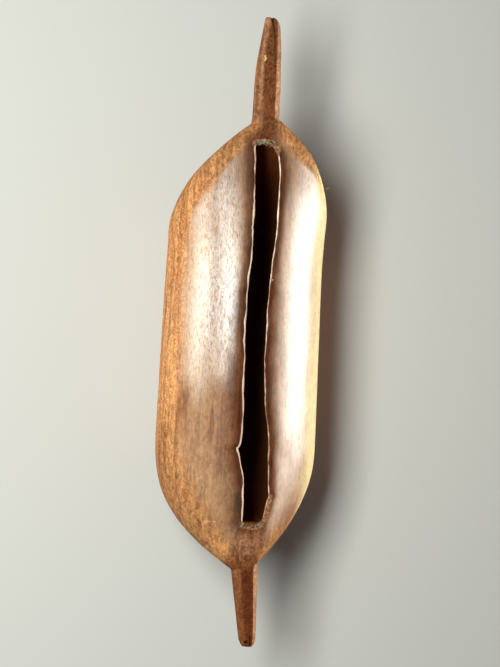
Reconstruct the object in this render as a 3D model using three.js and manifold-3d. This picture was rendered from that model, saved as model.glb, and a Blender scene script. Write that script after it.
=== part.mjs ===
// Slit drum: one log, hollowed through a long slit in its top, with a grip carved at each end.
// Millimetres. Y runs along the drum, X across it and Z up. The drum lies on its belly, slit up.
// Heights and places are worked out from the axis of the grips at the middle of the body, and the
// finished solid is then set on the ground, centred over the origin.

import * as THREE from 'three';
import { LoftGeometry } from 'three/addons/geometries/LoftGeometry.js';
import { mergeVertices } from 'three/addons/utils/BufferGeometryUtils.js';
import Module from 'manifold-3d';

// Body
const NECK_Y = 266;
const HALF_WIDTH = 96.6;
const FOOT_FLARE = 0.0126;
const WIDEST_DEPTH = 77.4;
const KEEL_DEPTH = 174;
const DECK_AT_NECK = 13;
const DECK_CROWN = 4;
const GRIP_UNDERSIDE = 17;
const BODY_FULLNESS = 2.06;
const FLAT_SPOT_DEPTH = 172;

// How each end of the body swells from its neck: lengths from the neck, and how blunt each is
const HEAD = {
  side: 1,
  neckHalf: 18.4,
  swellLength: 122,
  swellPower: 2.1,
  sinkStart: 36,
  sinkLength: 165,
  keelLength: 205,
  keelPower: 2.4,
  skew: 2.3,
};
const FOOT = {
  side: -1,
  neckHalf: 16.2,
  swellLength: 154,
  swellPower: 2.6,
  sinkStart: 0,
  sinkLength: 90,
  keelLength: 160,
  keelPower: 2.5,
  skew: 4.7,
};
const SINK_POWER = 2.2;
const SKEW_LENGTH = 120;

// Grips: eight-sided, tapering to a blunt head tip and a rounded foot tip
const HEAD_GRIP = {
  side: 1,
  length: 126,
  baseHalf: 15.8,
  taperStart: 36,
  taperBy: 7.6,
  taperPower: 1.8,
  swayStart: 66,
  swayFrom: -0.6,
  swayBy: 2,
  topDrop: 5,
  bottomRise: 8,
  tipLength: 6,
  tipShare: 0.4,
};
const FOOT_GRIP = {
  side: -1,
  length: 97,
  baseHalf: 15.9,
  taperStart: 0,
  taperBy: 6.6,
  taperPower: 1.1,
  swayStart: 0,
  swayFrom: 0,
  swayBy: 8.2,
  topDrop: 4,
  bottomRise: 7,
  tipLength: 9,
  tipShare: 0.5,
};
const GRIP_FACES = 8;
const FACE_SHARPNESS = 16;
const NECK_FILLET = 5;
const TIP_ROUNDING = { out: 0.65, share: 0.55 };

// Slit: each lip's edge as places along the drum and across it, with its chips and notch
const LEFT_EDGE = [
  [238, -14.6], [200, -14.2], [112, -13.2], [64, -16], [32, -16.9], [-30, -15.6], [-108, -13.2],
  [-122, -15.2], [-126, -17.4], [-140, -15.2], [-162, -9.2], [-213, -7.8],
];
const RIGHT_EDGE = [
  [238, 5], [233, 8], [222, 13.3], [180, 15.4], [128, 14.6], [80, 9.8], [52, 8.4], [-8, 7.8],
  [-62, 10.6], [-103, 16.4], [-128, 17.8], [-176, 20], [-194, 19.4], [-213, 11],
];
const SLIT_DEPTH = 28;
const LIP_SPREAD = 0.22;
const LEFT_BAND = 11;
const RIGHT_BAND = 8;
const LEFT_DROP = 3.6;
const RIGHT_DROP = 1.8;
const MID_DROP = { left: 0.5, right: 0.4 };
const BAND_FADE = 26;

// The most of the body's half width that a lip's edge and its band take up near the necks
const EDGE_REACH = 0.33;
const BAND_REACH = 0.56;

// Cavity: each end reaches a little past the slit and follows the body outside it
const CAVITY_HALF = 80;
const CAVITY_CEILING = 10;
const CAVITY_FLOOR = 152;
const CAVITY_HEAD = {
  end: 248,
  endHalf: 13,
  endFloor: 30,
  swellLength: 110,
  deepenLength: 175,
};
const CAVITY_FOOT = {
  end: -226,
  endHalf: 18,
  endFloor: 60,
  swellLength: 78,
  deepenLength: 105,
};
const CAVITY_POWER = 2.2;

// How finely the surfaces are divided
const BODY_STEPS = 30;
const END_CROWDING = 0.6;
const GRIP_STEPS = 8;
const SIDE_STEPS = 9;
const BELLY_STEPS = 24;
const CAVITY_STEPS = 20;
const CAVITY_SIDES = 28;
const EDGE_STEPS = 34;

// Wood
const WOOD_COLOUR = 0xa86c42;
const WOOD_ROUGHNESS = 0.45;

// Formulas shared by the shapes

const lerp = THREE.MathUtils.lerp;
const clamp01 = (value) => THREE.MathUtils.clamp(value, 0, 1);

// Rises from 0 at the start of a length to 1 at its end, steeply first
function swell(distance, length, power) {
  return 1 - (1 - clamp01(distance / length)) ** power;
}

// A signed power, for the superellipse
function signedPower(value, power) {
  return Math.sign(value) * Math.abs(value) ** power;
}

// Half width, widest level, deck, keel and skew of the body at a place along the drum
function bodyAt(y) {
  const end = y > 0 ? HEAD : FOOT;
  const fromNeck = NECK_Y - end.side * y;
  const fullHalf = HALF_WIDTH - FOOT_FLARE * y;
  const deck = DECK_AT_NECK + DECK_CROWN * (1 - (y / NECK_Y) ** 2);
  return {
    half: lerp(end.neckHalf, fullHalf, swell(fromNeck, end.swellLength, end.swellPower)),
    widest: -WIDEST_DEPTH * swell(fromNeck - end.sinkStart, end.sinkLength, SINK_POWER),
    deck,
    keel: -lerp(GRIP_UNDERSIDE, KEEL_DEPTH, swell(fromNeck, end.keelLength, end.keelPower)),
    skew: end.skew * (1 - clamp01(fromNeck / SKEW_LENGTH)),
  };
}

// A smooth curve through places along the drum, read at y
function edgeAt(edge, y) {
  const last = edge.length - 1;
  if (y >= edge[0][0]) return edge[0][1];
  if (y <= edge[last][0]) return edge[last][1];
  const i = edge.findIndex((place, index) => index < last && y > edge[index + 1][0]);
  const slopeAt = (k) => {
    const before = edge[Math.max(k - 1, 0)];
    const after = edge[Math.min(k + 1, last)];
    return (after[1] - before[1]) / (after[0] - before[0]);
  };
  const [y0, x0] = edge[i];
  const [y1, x1] = edge[i + 1];
  const span = y1 - y0;
  const t = (y - y0) / span;
  const bend0 = (1 + 2 * t) * (1 - t) ** 2;
  const bend1 = t * t * (3 - 2 * t);
  const lean0 = t * (1 - t) ** 2 * span * slopeAt(i);
  const lean1 = t * t * (t - 1) * span * slopeAt(i + 1);
  return bend0 * x0 + bend1 * x1 + lean0 + lean1;
}

const SLIT_HEAD = LEFT_EDGE[0][0];
const SLIT_FOOT = LEFT_EDGE[LEFT_EDGE.length - 1][0];

// How far the lips' bands are carved down: 1 along the slit, fading past its ends
function bandDepth(y) {
  const past = Math.max(y - SLIT_HEAD, SLIT_FOOT - y, 0);
  return 1 - clamp01(past / BAND_FADE);
}

// Angle on the upper half of a superellipse at which it reaches x
function angleAtX(x, half) {
  return Math.acos(signedPower(clamp01(Math.abs(x) / half), BODY_FULLNESS / 2));
}

// Cross section of the body: side, right lip, slit, left lip, side, then the belly
function bodyRing(y) {
  const body = bodyAt(y);
  const place = (x, z) => new THREE.Vector3(x, y + (body.skew * x) / body.half, z);
  const onArc = (angle, height) => place(
    body.half * signedPower(Math.cos(angle), 2 / BODY_FULLNESS),
    body.widest + height * signedPower(Math.sin(angle), 2 / BODY_FULLNESS),
  );
  const crownHeight = body.deck - body.widest;
  const depth = bandDepth(y);
  const onDeck = (x, drop) => {
    const z = onArc(angleAtX(x, body.half), crownHeight).z;
    return place(x, z - drop * depth);
  };
  const rightEdge = Math.min(edgeAt(RIGHT_EDGE, y), EDGE_REACH * body.half);
  const leftEdge = Math.max(edgeAt(LEFT_EDGE, y), -EDGE_REACH * body.half);
  const rightBand = Math.min(rightEdge + RIGHT_BAND, BAND_REACH * body.half);
  const leftBand = Math.max(leftEdge - LEFT_BAND, -BAND_REACH * body.half);
  const ring = [];
  const rightAngle = angleAtX(rightBand, body.half);
  for (let i = 0; i <= SIDE_STEPS; i += 1) {
    ring.push(onArc((rightAngle * i) / SIDE_STEPS, crownHeight));
  }
  ring.push(onDeck((rightBand + rightEdge) / 2, RIGHT_DROP * MID_DROP.right));
  ring.push(onDeck(rightEdge, RIGHT_DROP));
  ring.push(onDeck((rightEdge + leftEdge) / 2, (RIGHT_DROP + LEFT_DROP) / 2));
  ring.push(onDeck(leftEdge, LEFT_DROP));
  ring.push(onDeck((leftEdge + leftBand) / 2, LEFT_DROP * MID_DROP.left));
  const leftAngle = angleAtX(leftBand, body.half);
  for (let i = SIDE_STEPS; i >= 0; i -= 1) {
    ring.push(onArc(Math.PI - (leftAngle * i) / SIDE_STEPS, crownHeight));
  }
  for (let i = 1; i < BELLY_STEPS; i += 1) {
    ring.push(onArc(Math.PI + (Math.PI * i) / BELLY_STEPS, body.widest - body.keel));
  }
  return ring;
}

// The angles around a grip, point for point with a body section: the lips' points share its top face
function gripAngles() {
  const faceEdge = Math.PI / 2 - Math.PI / GRIP_FACES;
  const topFace = Math.PI - 2 * faceEdge;
  const topSteps = 6;
  const angles = [];
  for (let i = 0; i <= SIDE_STEPS; i += 1) angles.push((faceEdge * i) / SIDE_STEPS);
  for (let i = 1; i < topSteps; i += 1) angles.push(faceEdge + (topFace * i) / topSteps);
  for (let i = SIDE_STEPS; i >= 0; i -= 1) angles.push(Math.PI - (faceEdge * i) / SIDE_STEPS);
  for (let i = 1; i < BELLY_STEPS; i += 1) angles.push(Math.PI + (Math.PI * i) / BELLY_STEPS);
  return angles;
}

// Distance from the middle to a polygon with slightly worn corners, 1 at the middle of a face
function facetRadius(angle) {
  let sum = 0;
  for (let i = 0; i < GRIP_FACES; i += 1) {
    const towards = Math.cos(angle - (2 * Math.PI * i) / GRIP_FACES);
    sum += Math.max(towards, 0) ** FACE_SHARPNESS;
  }
  return sum ** (-1 / FACE_SHARPNESS);
}

// Cross section of a grip at a distance out from its neck
function gripRing(grip, out, share) {
  const taper = clamp01((out - grip.taperStart) / (grip.length - grip.taperStart));
  const half = (grip.baseHalf - grip.taperBy * taper ** grip.taperPower) * share;
  const swayed = swell(out - grip.swayStart, grip.length - grip.swayStart, grip.taperPower);
  const along = clamp01(out / grip.length);
  const top = DECK_AT_NECK - grip.topDrop * along;
  const bottom = -GRIP_UNDERSIDE + grip.bottomRise * along;
  const middle = (top + bottom) / 2;
  const high = ((top - bottom) / 2) * share;
  const y = grip.side * (NECK_Y + out);
  return gripAngles().map((angle) => {
    const radius = facetRadius(angle);
    const x = grip.swayFrom + grip.swayBy * swayed + half * radius * Math.cos(angle);
    return new THREE.Vector3(x, y, middle + high * radius * Math.sin(angle));
  });
}

// The rings of a grip from its neck out to its tip
function gripRings(grip) {
  const rings = [];
  const shaft = grip.length - grip.tipLength;
  for (let i = 0; i <= GRIP_STEPS; i += 1) {
    rings.push(gripRing(grip, lerp(NECK_FILLET, shaft, i / GRIP_STEPS), 1));
  }
  const roundedOut = shaft + grip.tipLength * TIP_ROUNDING.out;
  rings.push(gripRing(grip, roundedOut, lerp(grip.tipShare, 1, TIP_ROUNDING.share)));
  rings.push(gripRing(grip, grip.length, grip.tipShare));
  return rings;
}

// The whole outside as one loft, from the head tip to the foot tip
function outsideGeometry() {
  const bodyRings = [];
  for (let i = 0; i <= BODY_STEPS; i += 1) {
    const even = 1 - (2 * i) / BODY_STEPS;
    const crowded = Math.cos((Math.PI * i) / BODY_STEPS);
    bodyRings.push(bodyRing(NECK_Y * lerp(even, crowded, END_CROWDING)));
  }
  const rings = [...gripRings(HEAD_GRIP).reverse(), ...bodyRings, ...gripRings(FOOT_GRIP)];
  return new LoftGeometry(rings, { closed: true, capStart: true, capEnd: true });
}

// Half width, ceiling and floor of the cavity at a place along the drum
function cavityAt(y) {
  const middle = (CAVITY_HEAD.end + CAVITY_FOOT.end) / 2;
  const end = y > middle ? CAVITY_HEAD : CAVITY_FOOT;
  const fromEnd = Math.abs(end.end - y);
  return {
    half: lerp(end.endHalf, CAVITY_HALF, swell(fromEnd, end.swellLength, CAVITY_POWER)),
    ceiling: bodyAt(y).deck - CAVITY_CEILING,
    floor: -lerp(end.endFloor, CAVITY_FLOOR, swell(fromEnd, end.deepenLength, CAVITY_POWER)),
  };
}

// The hollow inside, an ellipse at every place along the drum
function cavityGeometry() {
  const rings = [];
  for (let i = 0; i <= CAVITY_STEPS; i += 1) {
    const even = i / CAVITY_STEPS;
    const crowded = (1 - Math.cos(Math.PI * even)) / 2;
    const y = lerp(CAVITY_HEAD.end, CAVITY_FOOT.end, lerp(even, crowded, END_CROWDING));
    const { half, ceiling, floor } = cavityAt(y);
    const middle = (ceiling + floor) / 2;
    const high = (ceiling - floor) / 2;
    const ring = [];
    for (let j = 0; j < CAVITY_SIDES; j += 1) {
      const angle = (2 * Math.PI * j) / CAVITY_SIDES;
      ring.push(new THREE.Vector3(half * Math.cos(angle), y, middle + high * Math.sin(angle)));
    }
    rings.push(ring);
  }
  return new LoftGeometry(rings, { closed: true, capStart: true, capEnd: true });
}

// The wedge of air that the slit is: narrowest at the lips, wider below them
function slitGeometry() {
  const lipLevel = DECK_AT_NECK;
  const levels = [lipLevel - SLIT_DEPTH, lipLevel, lipLevel + SLIT_DEPTH];
  const rings = levels.map((level) => {
    const spread = Math.max(lipLevel - level, 0) * LIP_SPREAD;
    const ring = [];
    for (let i = 0; i <= EDGE_STEPS; i += 1) {
      const y = lerp(SLIT_FOOT, SLIT_HEAD, i / EDGE_STEPS);
      ring.push(new THREE.Vector3(edgeAt(RIGHT_EDGE, y) + spread, y, level));
    }
    for (let i = EDGE_STEPS; i >= 0; i -= 1) {
      const y = lerp(SLIT_FOOT, SLIT_HEAD, i / EDGE_STEPS);
      ring.push(new THREE.Vector3(edgeAt(LEFT_EDGE, y) - spread, y, level));
    }
    return ring;
  });
  return new LoftGeometry(rings, { closed: true, capStart: true, capEnd: true });
}

// Everything below the flat spot that the drum lies on
function belowFlatSpot() {
  const height = KEEL_DEPTH - FLAT_SPOT_DEPTH + HALF_WIDTH;
  const box = new THREE.BoxGeometry(3 * HALF_WIDTH, 3 * NECK_Y, height);
  return box.translate(0, 0, -FLAT_SPOT_DEPTH - height / 2);
}

// Joins and cuts

const wasm = await Module();
wasm.setup();

function toSolid(geometry) {
  const shape = new THREE.BufferGeometry();
  shape.setAttribute('position', geometry.getAttribute('position'));
  shape.setIndex(geometry.getIndex());
  const merged = mergeVertices(shape);
  return new wasm.Manifold(new wasm.Mesh({
    numProp: 3,
    vertProperties: new Float32Array(merged.getAttribute('position').array),
    triVerts: new Uint32Array(merged.getIndex().array),
  }));
}

function toGeometry(solid) {
  const mesh = solid.getMesh();
  const geometry = new THREE.BufferGeometry();
  geometry.setAttribute('position', new THREE.BufferAttribute(mesh.vertProperties, 3));
  geometry.setIndex(new THREE.BufferAttribute(mesh.triVerts, 1));
  geometry.computeVertexNormals();
  return geometry;
}

function drumGeometry() {
  const solid = toSolid(outsideGeometry())
    .subtract(toSolid(cavityGeometry()))
    .subtract(toSolid(slitGeometry()))
    .subtract(toSolid(belowFlatSpot()));
  const geometry = toGeometry(solid);
  geometry.computeBoundingBox();
  const { min, max } = geometry.boundingBox;
  return geometry.translate(-(min.x + max.x) / 2, -(min.y + max.y) / 2, -min.z);
}

const wood = new THREE.MeshStandardMaterial({
  color: WOOD_COLOUR,
  roughness: WOOD_ROUGHNESS,
  metalness: 0,
});
const drum = new THREE.Mesh(drumGeometry(), wood);
drum.name = 'drum';

const slitDrum = new THREE.Group();
slitDrum.add(drum);

export default slitDrum;
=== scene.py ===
"""Slit drum: the finished look of a log hollowed through a long slit, with a grip at each end.

The carving is worked out in millimetres about the axis of the grips, with Y along the drum, X across
it and Z up, from the same sizes as the solid that it replaces. It is then set into the frame, in
metres, by the box of that solid.
"""

import logging
import math
from dataclasses import dataclass, field
from enum import Enum
from typing import Any, Sequence, Union

import bmesh
import bpy
import numpy as np
from mathutils import Matrix, Vector


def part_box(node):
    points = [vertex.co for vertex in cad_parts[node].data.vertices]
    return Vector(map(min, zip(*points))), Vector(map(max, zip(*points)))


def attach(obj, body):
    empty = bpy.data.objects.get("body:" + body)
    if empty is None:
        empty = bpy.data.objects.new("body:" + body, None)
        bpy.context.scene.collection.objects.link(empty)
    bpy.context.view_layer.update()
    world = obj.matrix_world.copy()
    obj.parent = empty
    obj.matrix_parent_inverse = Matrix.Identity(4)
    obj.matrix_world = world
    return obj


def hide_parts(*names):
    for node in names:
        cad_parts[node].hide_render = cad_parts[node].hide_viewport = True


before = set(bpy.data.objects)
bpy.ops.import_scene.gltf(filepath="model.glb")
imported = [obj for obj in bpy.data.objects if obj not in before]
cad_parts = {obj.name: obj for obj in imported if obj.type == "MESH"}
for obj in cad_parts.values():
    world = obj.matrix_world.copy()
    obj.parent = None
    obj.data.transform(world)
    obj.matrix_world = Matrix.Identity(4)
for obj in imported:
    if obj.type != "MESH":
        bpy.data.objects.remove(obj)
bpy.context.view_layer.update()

NODE = "drum"
MM = 0.001

log = logging.getLogger("slit_drum")

Number = Union[float, "Term"]
Colour = tuple[float, float, float]
Span = tuple[float, float]
Array = np.ndarray


class Mark(Enum):
    """The per-vertex values that tell the finish where it is on the drum."""

    RIM = "rim"
    # The lip bands' painted shade, full at the slit's edge and fading outwards.
    LIP = "lip"
    # The arris along the slit's edges: pale worn wood with a painted highlight.
    ARRIS = "arris"
    CHOP = "chop"
    INSIDE = "inside"
    GRIP = "grip"
    TOP_FACE = "top_face"
    # Where the grips' right faces carry a painted highlight.
    RIGHT_FACE = "right_face"
    FIBRE = "fibre"
    PALE = "pale"
    DARK = "dark"


class NoiseKind(Enum):
    """Which texture node a pattern comes from."""

    CLOUD = "ShaderNodeTexNoise"
    CELLS = "ShaderNodeTexVoronoi"


def lerp(start: Any, end: Any, share: Any) -> Any:
    """The value a share of the way from start to end."""
    return start + (end - start) * share


def swell(distance: Any, length: float, power: float) -> Any:
    """Rises from 0 to 1 over a length, the more steeply at first the higher the power."""
    return 1.0 - (1.0 - np.clip(distance / length, 0.0, 1.0)) ** power


def smooth(value: Any, low: float, high: float) -> Any:
    """Rises smoothly from 0 at low to 1 at high."""
    share = np.clip((value - low) / (high - low), 0.0, 1.0)
    return share * share * (3.0 - 2.0 * share)


def signed_power(value: Array, power: float) -> Array:
    """A power that keeps its base's sign."""
    return np.sign(value) * np.abs(value) ** power


def along(table: Sequence[tuple[float, float]], y: Array) -> Array:
    """Reads at y a size that changes along the drum, from a few places with the size there."""
    places, values = zip(*reversed(table))
    return np.interp(y, places, values)


def srgb(red: float, green: float, blue: float) -> Colour:
    """Turns a screen colour into scene-linear light.

    Args:
        red: Red, 0 to 255.
        green: Green, 0 to 255.
        blue: Blue, 0 to 255.

    Returns:
        The linear colour.
    """
    def channel(value: float) -> float:
        """One channel, from 0 to 255, as linear light."""
        share = value / 255.0
        return share / 12.92 if share <= 0.04045 else ((share + 0.055) / 1.055) ** 2.4

    return channel(red), channel(green), channel(blue)


@dataclass(frozen=True)
class EndShape:
    """How one end of the body swells from its neck, in millimetres."""

    side: int
    neck_half: float
    swell_length: float
    swell_power: float
    sink_start: float
    sink_length: float
    keel_length: float
    keel_power: float
    skew: float
    rim_inset: float


@dataclass(frozen=True)
class BodySizes:
    """Sizes of the body at places along the drum, one array entry for each place."""

    half: Array
    widest: Array
    deck: Array
    keel: Array
    skew: Array
    rim_inset: Array


@dataclass(frozen=True)
class Body:
    """The hollowed log between the necks."""

    neck_y: float = 266.0
    half_width: float = 96.6
    foot_flare: float = 0.0126
    widest_depth: float = 77.4
    keel_depth: float = 174.0
    deck_at_neck: float = 13.0
    deck_crown: float = 4.0
    grip_underside: float = 17.0
    fullness: float = 2.06
    flat_spot_depth: float = 172.0
    sink_power: float = 2.2
    skew_length: float = 120.0
    mid_rim_inset: float = 10.0
    right_rim_inset: float = -12.0
    rim_change: tuple[float, float] = (60.0, 150.0)
    head: EndShape = EndShape(1, 18.4, 122.0, 2.1, 36.0, 165.0, 205.0, 2.4, 2.3, 23.0)
    foot: EndShape = EndShape(-1, 16.2, 154.0, 2.6, 0.0, 90.0, 160.0, 2.5, 4.7, 24.0)

    def sizes(self, y: Array) -> BodySizes:
        """Sizes of the cross section at places along the drum.

        Args:
            y: The places.

        Returns:
            Half width, widest level, deck, keel, skew and the width of the unpolished rim there.
        """
        full_half = self.half_width - self.foot_flare * y
        deck = self.deck_at_neck + self.deck_crown * (1.0 - (y / self.neck_y) ** 2)
        rows = []
        for end in (self.head, self.foot):
            out = self.neck_y - end.side * y
            rows.append((
                lerp(end.neck_half, full_half, swell(out, end.swell_length, end.swell_power)),
                -self.widest_depth * swell(out - end.sink_start, end.sink_length, self.sink_power),
                -lerp(self.grip_underside, self.keel_depth, swell(out, end.keel_length, end.keel_power)),
                end.skew * (1.0 - np.clip(out / self.skew_length, 0.0, 1.0)),
                lerp(end.rim_inset, self.mid_rim_inset, smooth(out, *self.rim_change)),
            ))
        half, widest, keel, skew, inset = (np.where(y > 0, a, b) for a, b in zip(*rows))
        return BodySizes(half, widest, deck, keel, skew, inset)


@dataclass(frozen=True)
class Grip:
    """An eight-sided grip, tapering from its neck to its tip."""

    side: int
    length: float
    base_half: float
    taper_start: float
    taper_by: float
    taper_power: float
    sway_start: float
    sway_from: float
    sway_by: float
    top_drop: float
    bottom_rise: float
    tip_length: float
    tip_share: float
    slant_from: float
    slant: float
    notch: float = 0.0
    notch_at: float = 0.0
    notch_spread: float = 1.7
    slant_reach: float = 16.0
    faces: int = 8
    sharpness: float = 16.0
    rounding_out: float = 0.65
    rounding_share: float = 0.55

    def facet_radius(self, angle: Array) -> Array:
        """How far the faceted outline is from the grip's middle.

        Args:
            angle: Angles around the grip.

        Returns:
            The distance at each, 1 at the middle of a face.
        """
        towards = [np.cos(angle - 2 * math.pi * i / self.faces) for i in range(self.faces)]
        total = sum(np.maximum(value, 0.0) ** self.sharpness for value in towards)
        return total ** (-1.0 / self.sharpness)

    def tip_shares(self, out: Array) -> Array:
        """How much of its full thickness the grip has.

        Args:
            out: Distances from its neck.

        Returns:
            The share at each.
        """
        shaft = self.length - self.tip_length
        rounded = shaft + self.tip_length * self.rounding_out
        shares = (1.0, lerp(self.tip_share, 1.0, self.rounding_share), self.tip_share)
        return np.interp(out, (shaft, rounded, self.length), shares)

    def rings(self, out: Array, shrink: Array, angles: Array, body: Body) -> Array:
        """Points of the grip's cross sections.

        Args:
            out: Distances from the neck, one for each ring.
            shrink: A further share of the thickness, for the rings that close the tip.
            angles: The angles of a ring's points.
            body: The body that the grip grows from.

        Returns:
            Points, ring by ring.
        """
        taper = np.clip((out - self.taper_start) / (self.length - self.taper_start), 0.0, 1.0)
        share = self.tip_shares(out) * shrink
        half = (self.base_half - self.taper_by * taper ** self.taper_power) * share
        swayed = swell(out - self.sway_start, self.length - self.sway_start, self.taper_power)
        along = np.clip(out / self.length, 0.0, 1.0)
        top = body.deck_at_neck - self.top_drop * along
        bottom = -body.grip_underside + self.bottom_rise * along
        middle, high = (top + bottom) / 2, (top - bottom) / 2 * share
        radius = self.facet_radius(angles)
        points = np.empty((len(out), len(angles), 3))
        centre = self.sway_from + self.sway_by * swayed
        points[..., 0] = centre[:, None] + half[:, None] * radius * np.cos(angles)
        x = points[..., 0]
        lean = self.slant * np.maximum(0.0, x - self.slant_from)
        lean = lean + self.notch * np.exp(-((x - self.notch_at) / self.notch_spread) ** 2)
        late = np.clip((out - self.length + self.slant_reach) / self.slant_reach, 0.0, 1.0) ** 2
        points[..., 1] = self.side * (body.neck_y + out[:, None] - lean * late[:, None])
        points[..., 2] = middle[:, None] + high[:, None] * radius * np.sin(angles)
        return points


@dataclass(frozen=True)
class Blemish:
    """A nick, groove, hole, crack, stain or painted highlight streak seen from above, in millimetres."""

    start: tuple[float, float]
    end: tuple[float, float]
    half_width: float
    depth: tuple[float, float] = (0.0, 0.0)
    pale: float = 0.0
    dark: float = 0.0
    softness: float = 0.6

    def cover(self, points: Array) -> tuple[Array, Array]:
        """How strongly it marks each point, and how deep it is cut there.

        Args:
            points: Points of the surface.

        Returns:
            Its strength, 0 to 1, and the depth of its cut.
        """
        start, end = np.array(self.start), np.array(self.end)
        along = end - start
        flat = points[..., :2] - start
        share = np.clip(flat @ along / max(float(along @ along), 1e-9), 0.0, 1.0)
        gap = np.linalg.norm(flat - share[..., None] * along, axis=-1)
        strength = 1.0 - smooth(gap, self.half_width * (1.0 - self.softness), self.half_width)
        return strength, strength * lerp(self.depth[0], self.depth[1], share)


@dataclass(frozen=True)
class Wear:
    """The drum's breaks, worn places and stains, and two painted highlight streaks."""

    blemishes: tuple[Blemish, ...] = (
        # Stains beside the slit's head end, and the darker patch by the lip near its foot end.
        Blemish((-23.5, 236.0), (-21.0, 182.0), 7.0, dark=0.55, softness=1.0),
        Blemish((21.0, 226.0), (24.5, 176.0), 6.0, dark=0.45, softness=1.0),
        Blemish((-16.5, -180.0), (-15.8, -200.0), 8.0, dark=0.9, softness=1.0),
        # Dark checks below the chopped foot end of the slit.
        Blemish((-4.6, -217.0), (-5.0, -226.0), 1.3, dark=0.8, softness=0.9),
        Blemish((3.0, -219.0), (3.2, -231.0), 1.4, (0.4, 0.1), dark=0.75, softness=0.9),
        Blemish((7.2, -218.0), (7.0, -225.0), 1.1, dark=0.7, softness=0.9),
        Blemish((11.6, -217.0), (12.4, -230.0), 1.4, dark=0.75, softness=0.9),
        # The groove and the pale nick on the long grip.
        Blemish((-1.0, 392.5), (3.2, 376.0), 3.2, (2.8, 2.2), dark=0.75, softness=0.9),
        Blemish((3.2, 376.0), (5.0, 332.0), 3.2, (2.2, 0.4), dark=0.65, softness=0.9),
        Blemish((-7.8, 345.5), (-7.0, 340.5), 1.4, (0.5, 0.5), pale=1.0, softness=0.6),
        Blemish((-5.6, 343.5), (-8.4, 338.5), 1.2, (0.4, 0.4), pale=0.9, softness=0.7),
        # The hole and the crack at the end of the short grip.
        Blemish((4.0, -357.6), (5.4, -357.6), 1.8, (3.8, 3.8), dark=1.0, softness=0.35),
        Blemish((8.6, -349.0), (9.8, -360.5), 0.9, (0.4, 2.2), dark=0.7),
        # Light nicks on the left flank.
        Blemish((-86.0, 196.0), (-80.0, 192.0), 1.4, (0.3, 0.3), pale=0.55),
        Blemish((-78.0, 171.0), (-71.0, 167.0), 1.4, (0.3, 0.3), pale=0.55),
        Blemish((-89.0, 179.0), (-83.0, 174.0), 1.3, (0.3, 0.3), pale=0.5),
        Blemish((-94.0, 66.0), (-86.0, 61.0), 1.3, (0.3, 0.3), pale=0.6),
        Blemish((-95.0, -122.0), (-92.0, -130.0), 1.2, (0.2, 0.2), pale=0.5),
        Blemish((-86.0, -136.0), (-83.0, -129.0), 1.2, (0.2, 0.2), pale=0.5),
        Blemish((-62.0, -164.0), (-56.0, -161.0), 1.3, (0.3, 0.3), pale=0.6),
        # The two pale yellow streaks down the left flank's outline: painted highlight.
        Blemish((-94.7, 60.0), (-95.9, -20.0), 0.8, pale=0.8, softness=0.8),
        Blemish((-92.7, 68.0), (-94.0, -44.0), 0.8, pale=0.7, softness=0.8),
        # Scratches on the deck.
        Blemish((-28.5, -53.6), (-20.0, -53.2), 0.9, (0.2, 0.2), pale=0.9),
        Blemish((-42.6, -120.0), (-41.6, -141.0), 0.9, (0.2, 0.2), pale=0.6),
        Blemish((-52.0, -214.0), (-30.0, -215.5), 1.0, (0.2, 0.2), pale=0.6),
        Blemish((-52.0, -214.0), (-50.0, -226.0), 1.0, (0.2, 0.2), pale=0.5),
        Blemish((-30.0, -215.5), (-29.0, -228.0), 1.0, (0.2, 0.2), pale=0.5),
        Blemish((13.3, 77.0), (13.6, 77.0), 1.2, pale=1.0),
    )

    def apply(self, points: Array, upward: Array) -> dict[str, Array]:
        """Cuts the blemishes into a surface from above.

        Args:
            points: Points of the surface, which are moved.
            upward: Where the surface faces up, 0 to 1.

        Returns:
            The marks of pale and dark places.
        """
        pale, dark = np.zeros(points.shape[:-1]), np.zeros(points.shape[:-1])
        depth = np.zeros(points.shape[:-1])
        for blemish in self.blemishes:
            strength, cut = blemish.cover(points)
            pale = np.maximum(pale, strength * blemish.pale)
            dark = np.maximum(dark, strength * blemish.dark)
            depth = np.maximum(depth, cut)
        points[..., 2] -= depth * upward
        return {"pale": pale * upward, "dark": dark * upward}


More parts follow.
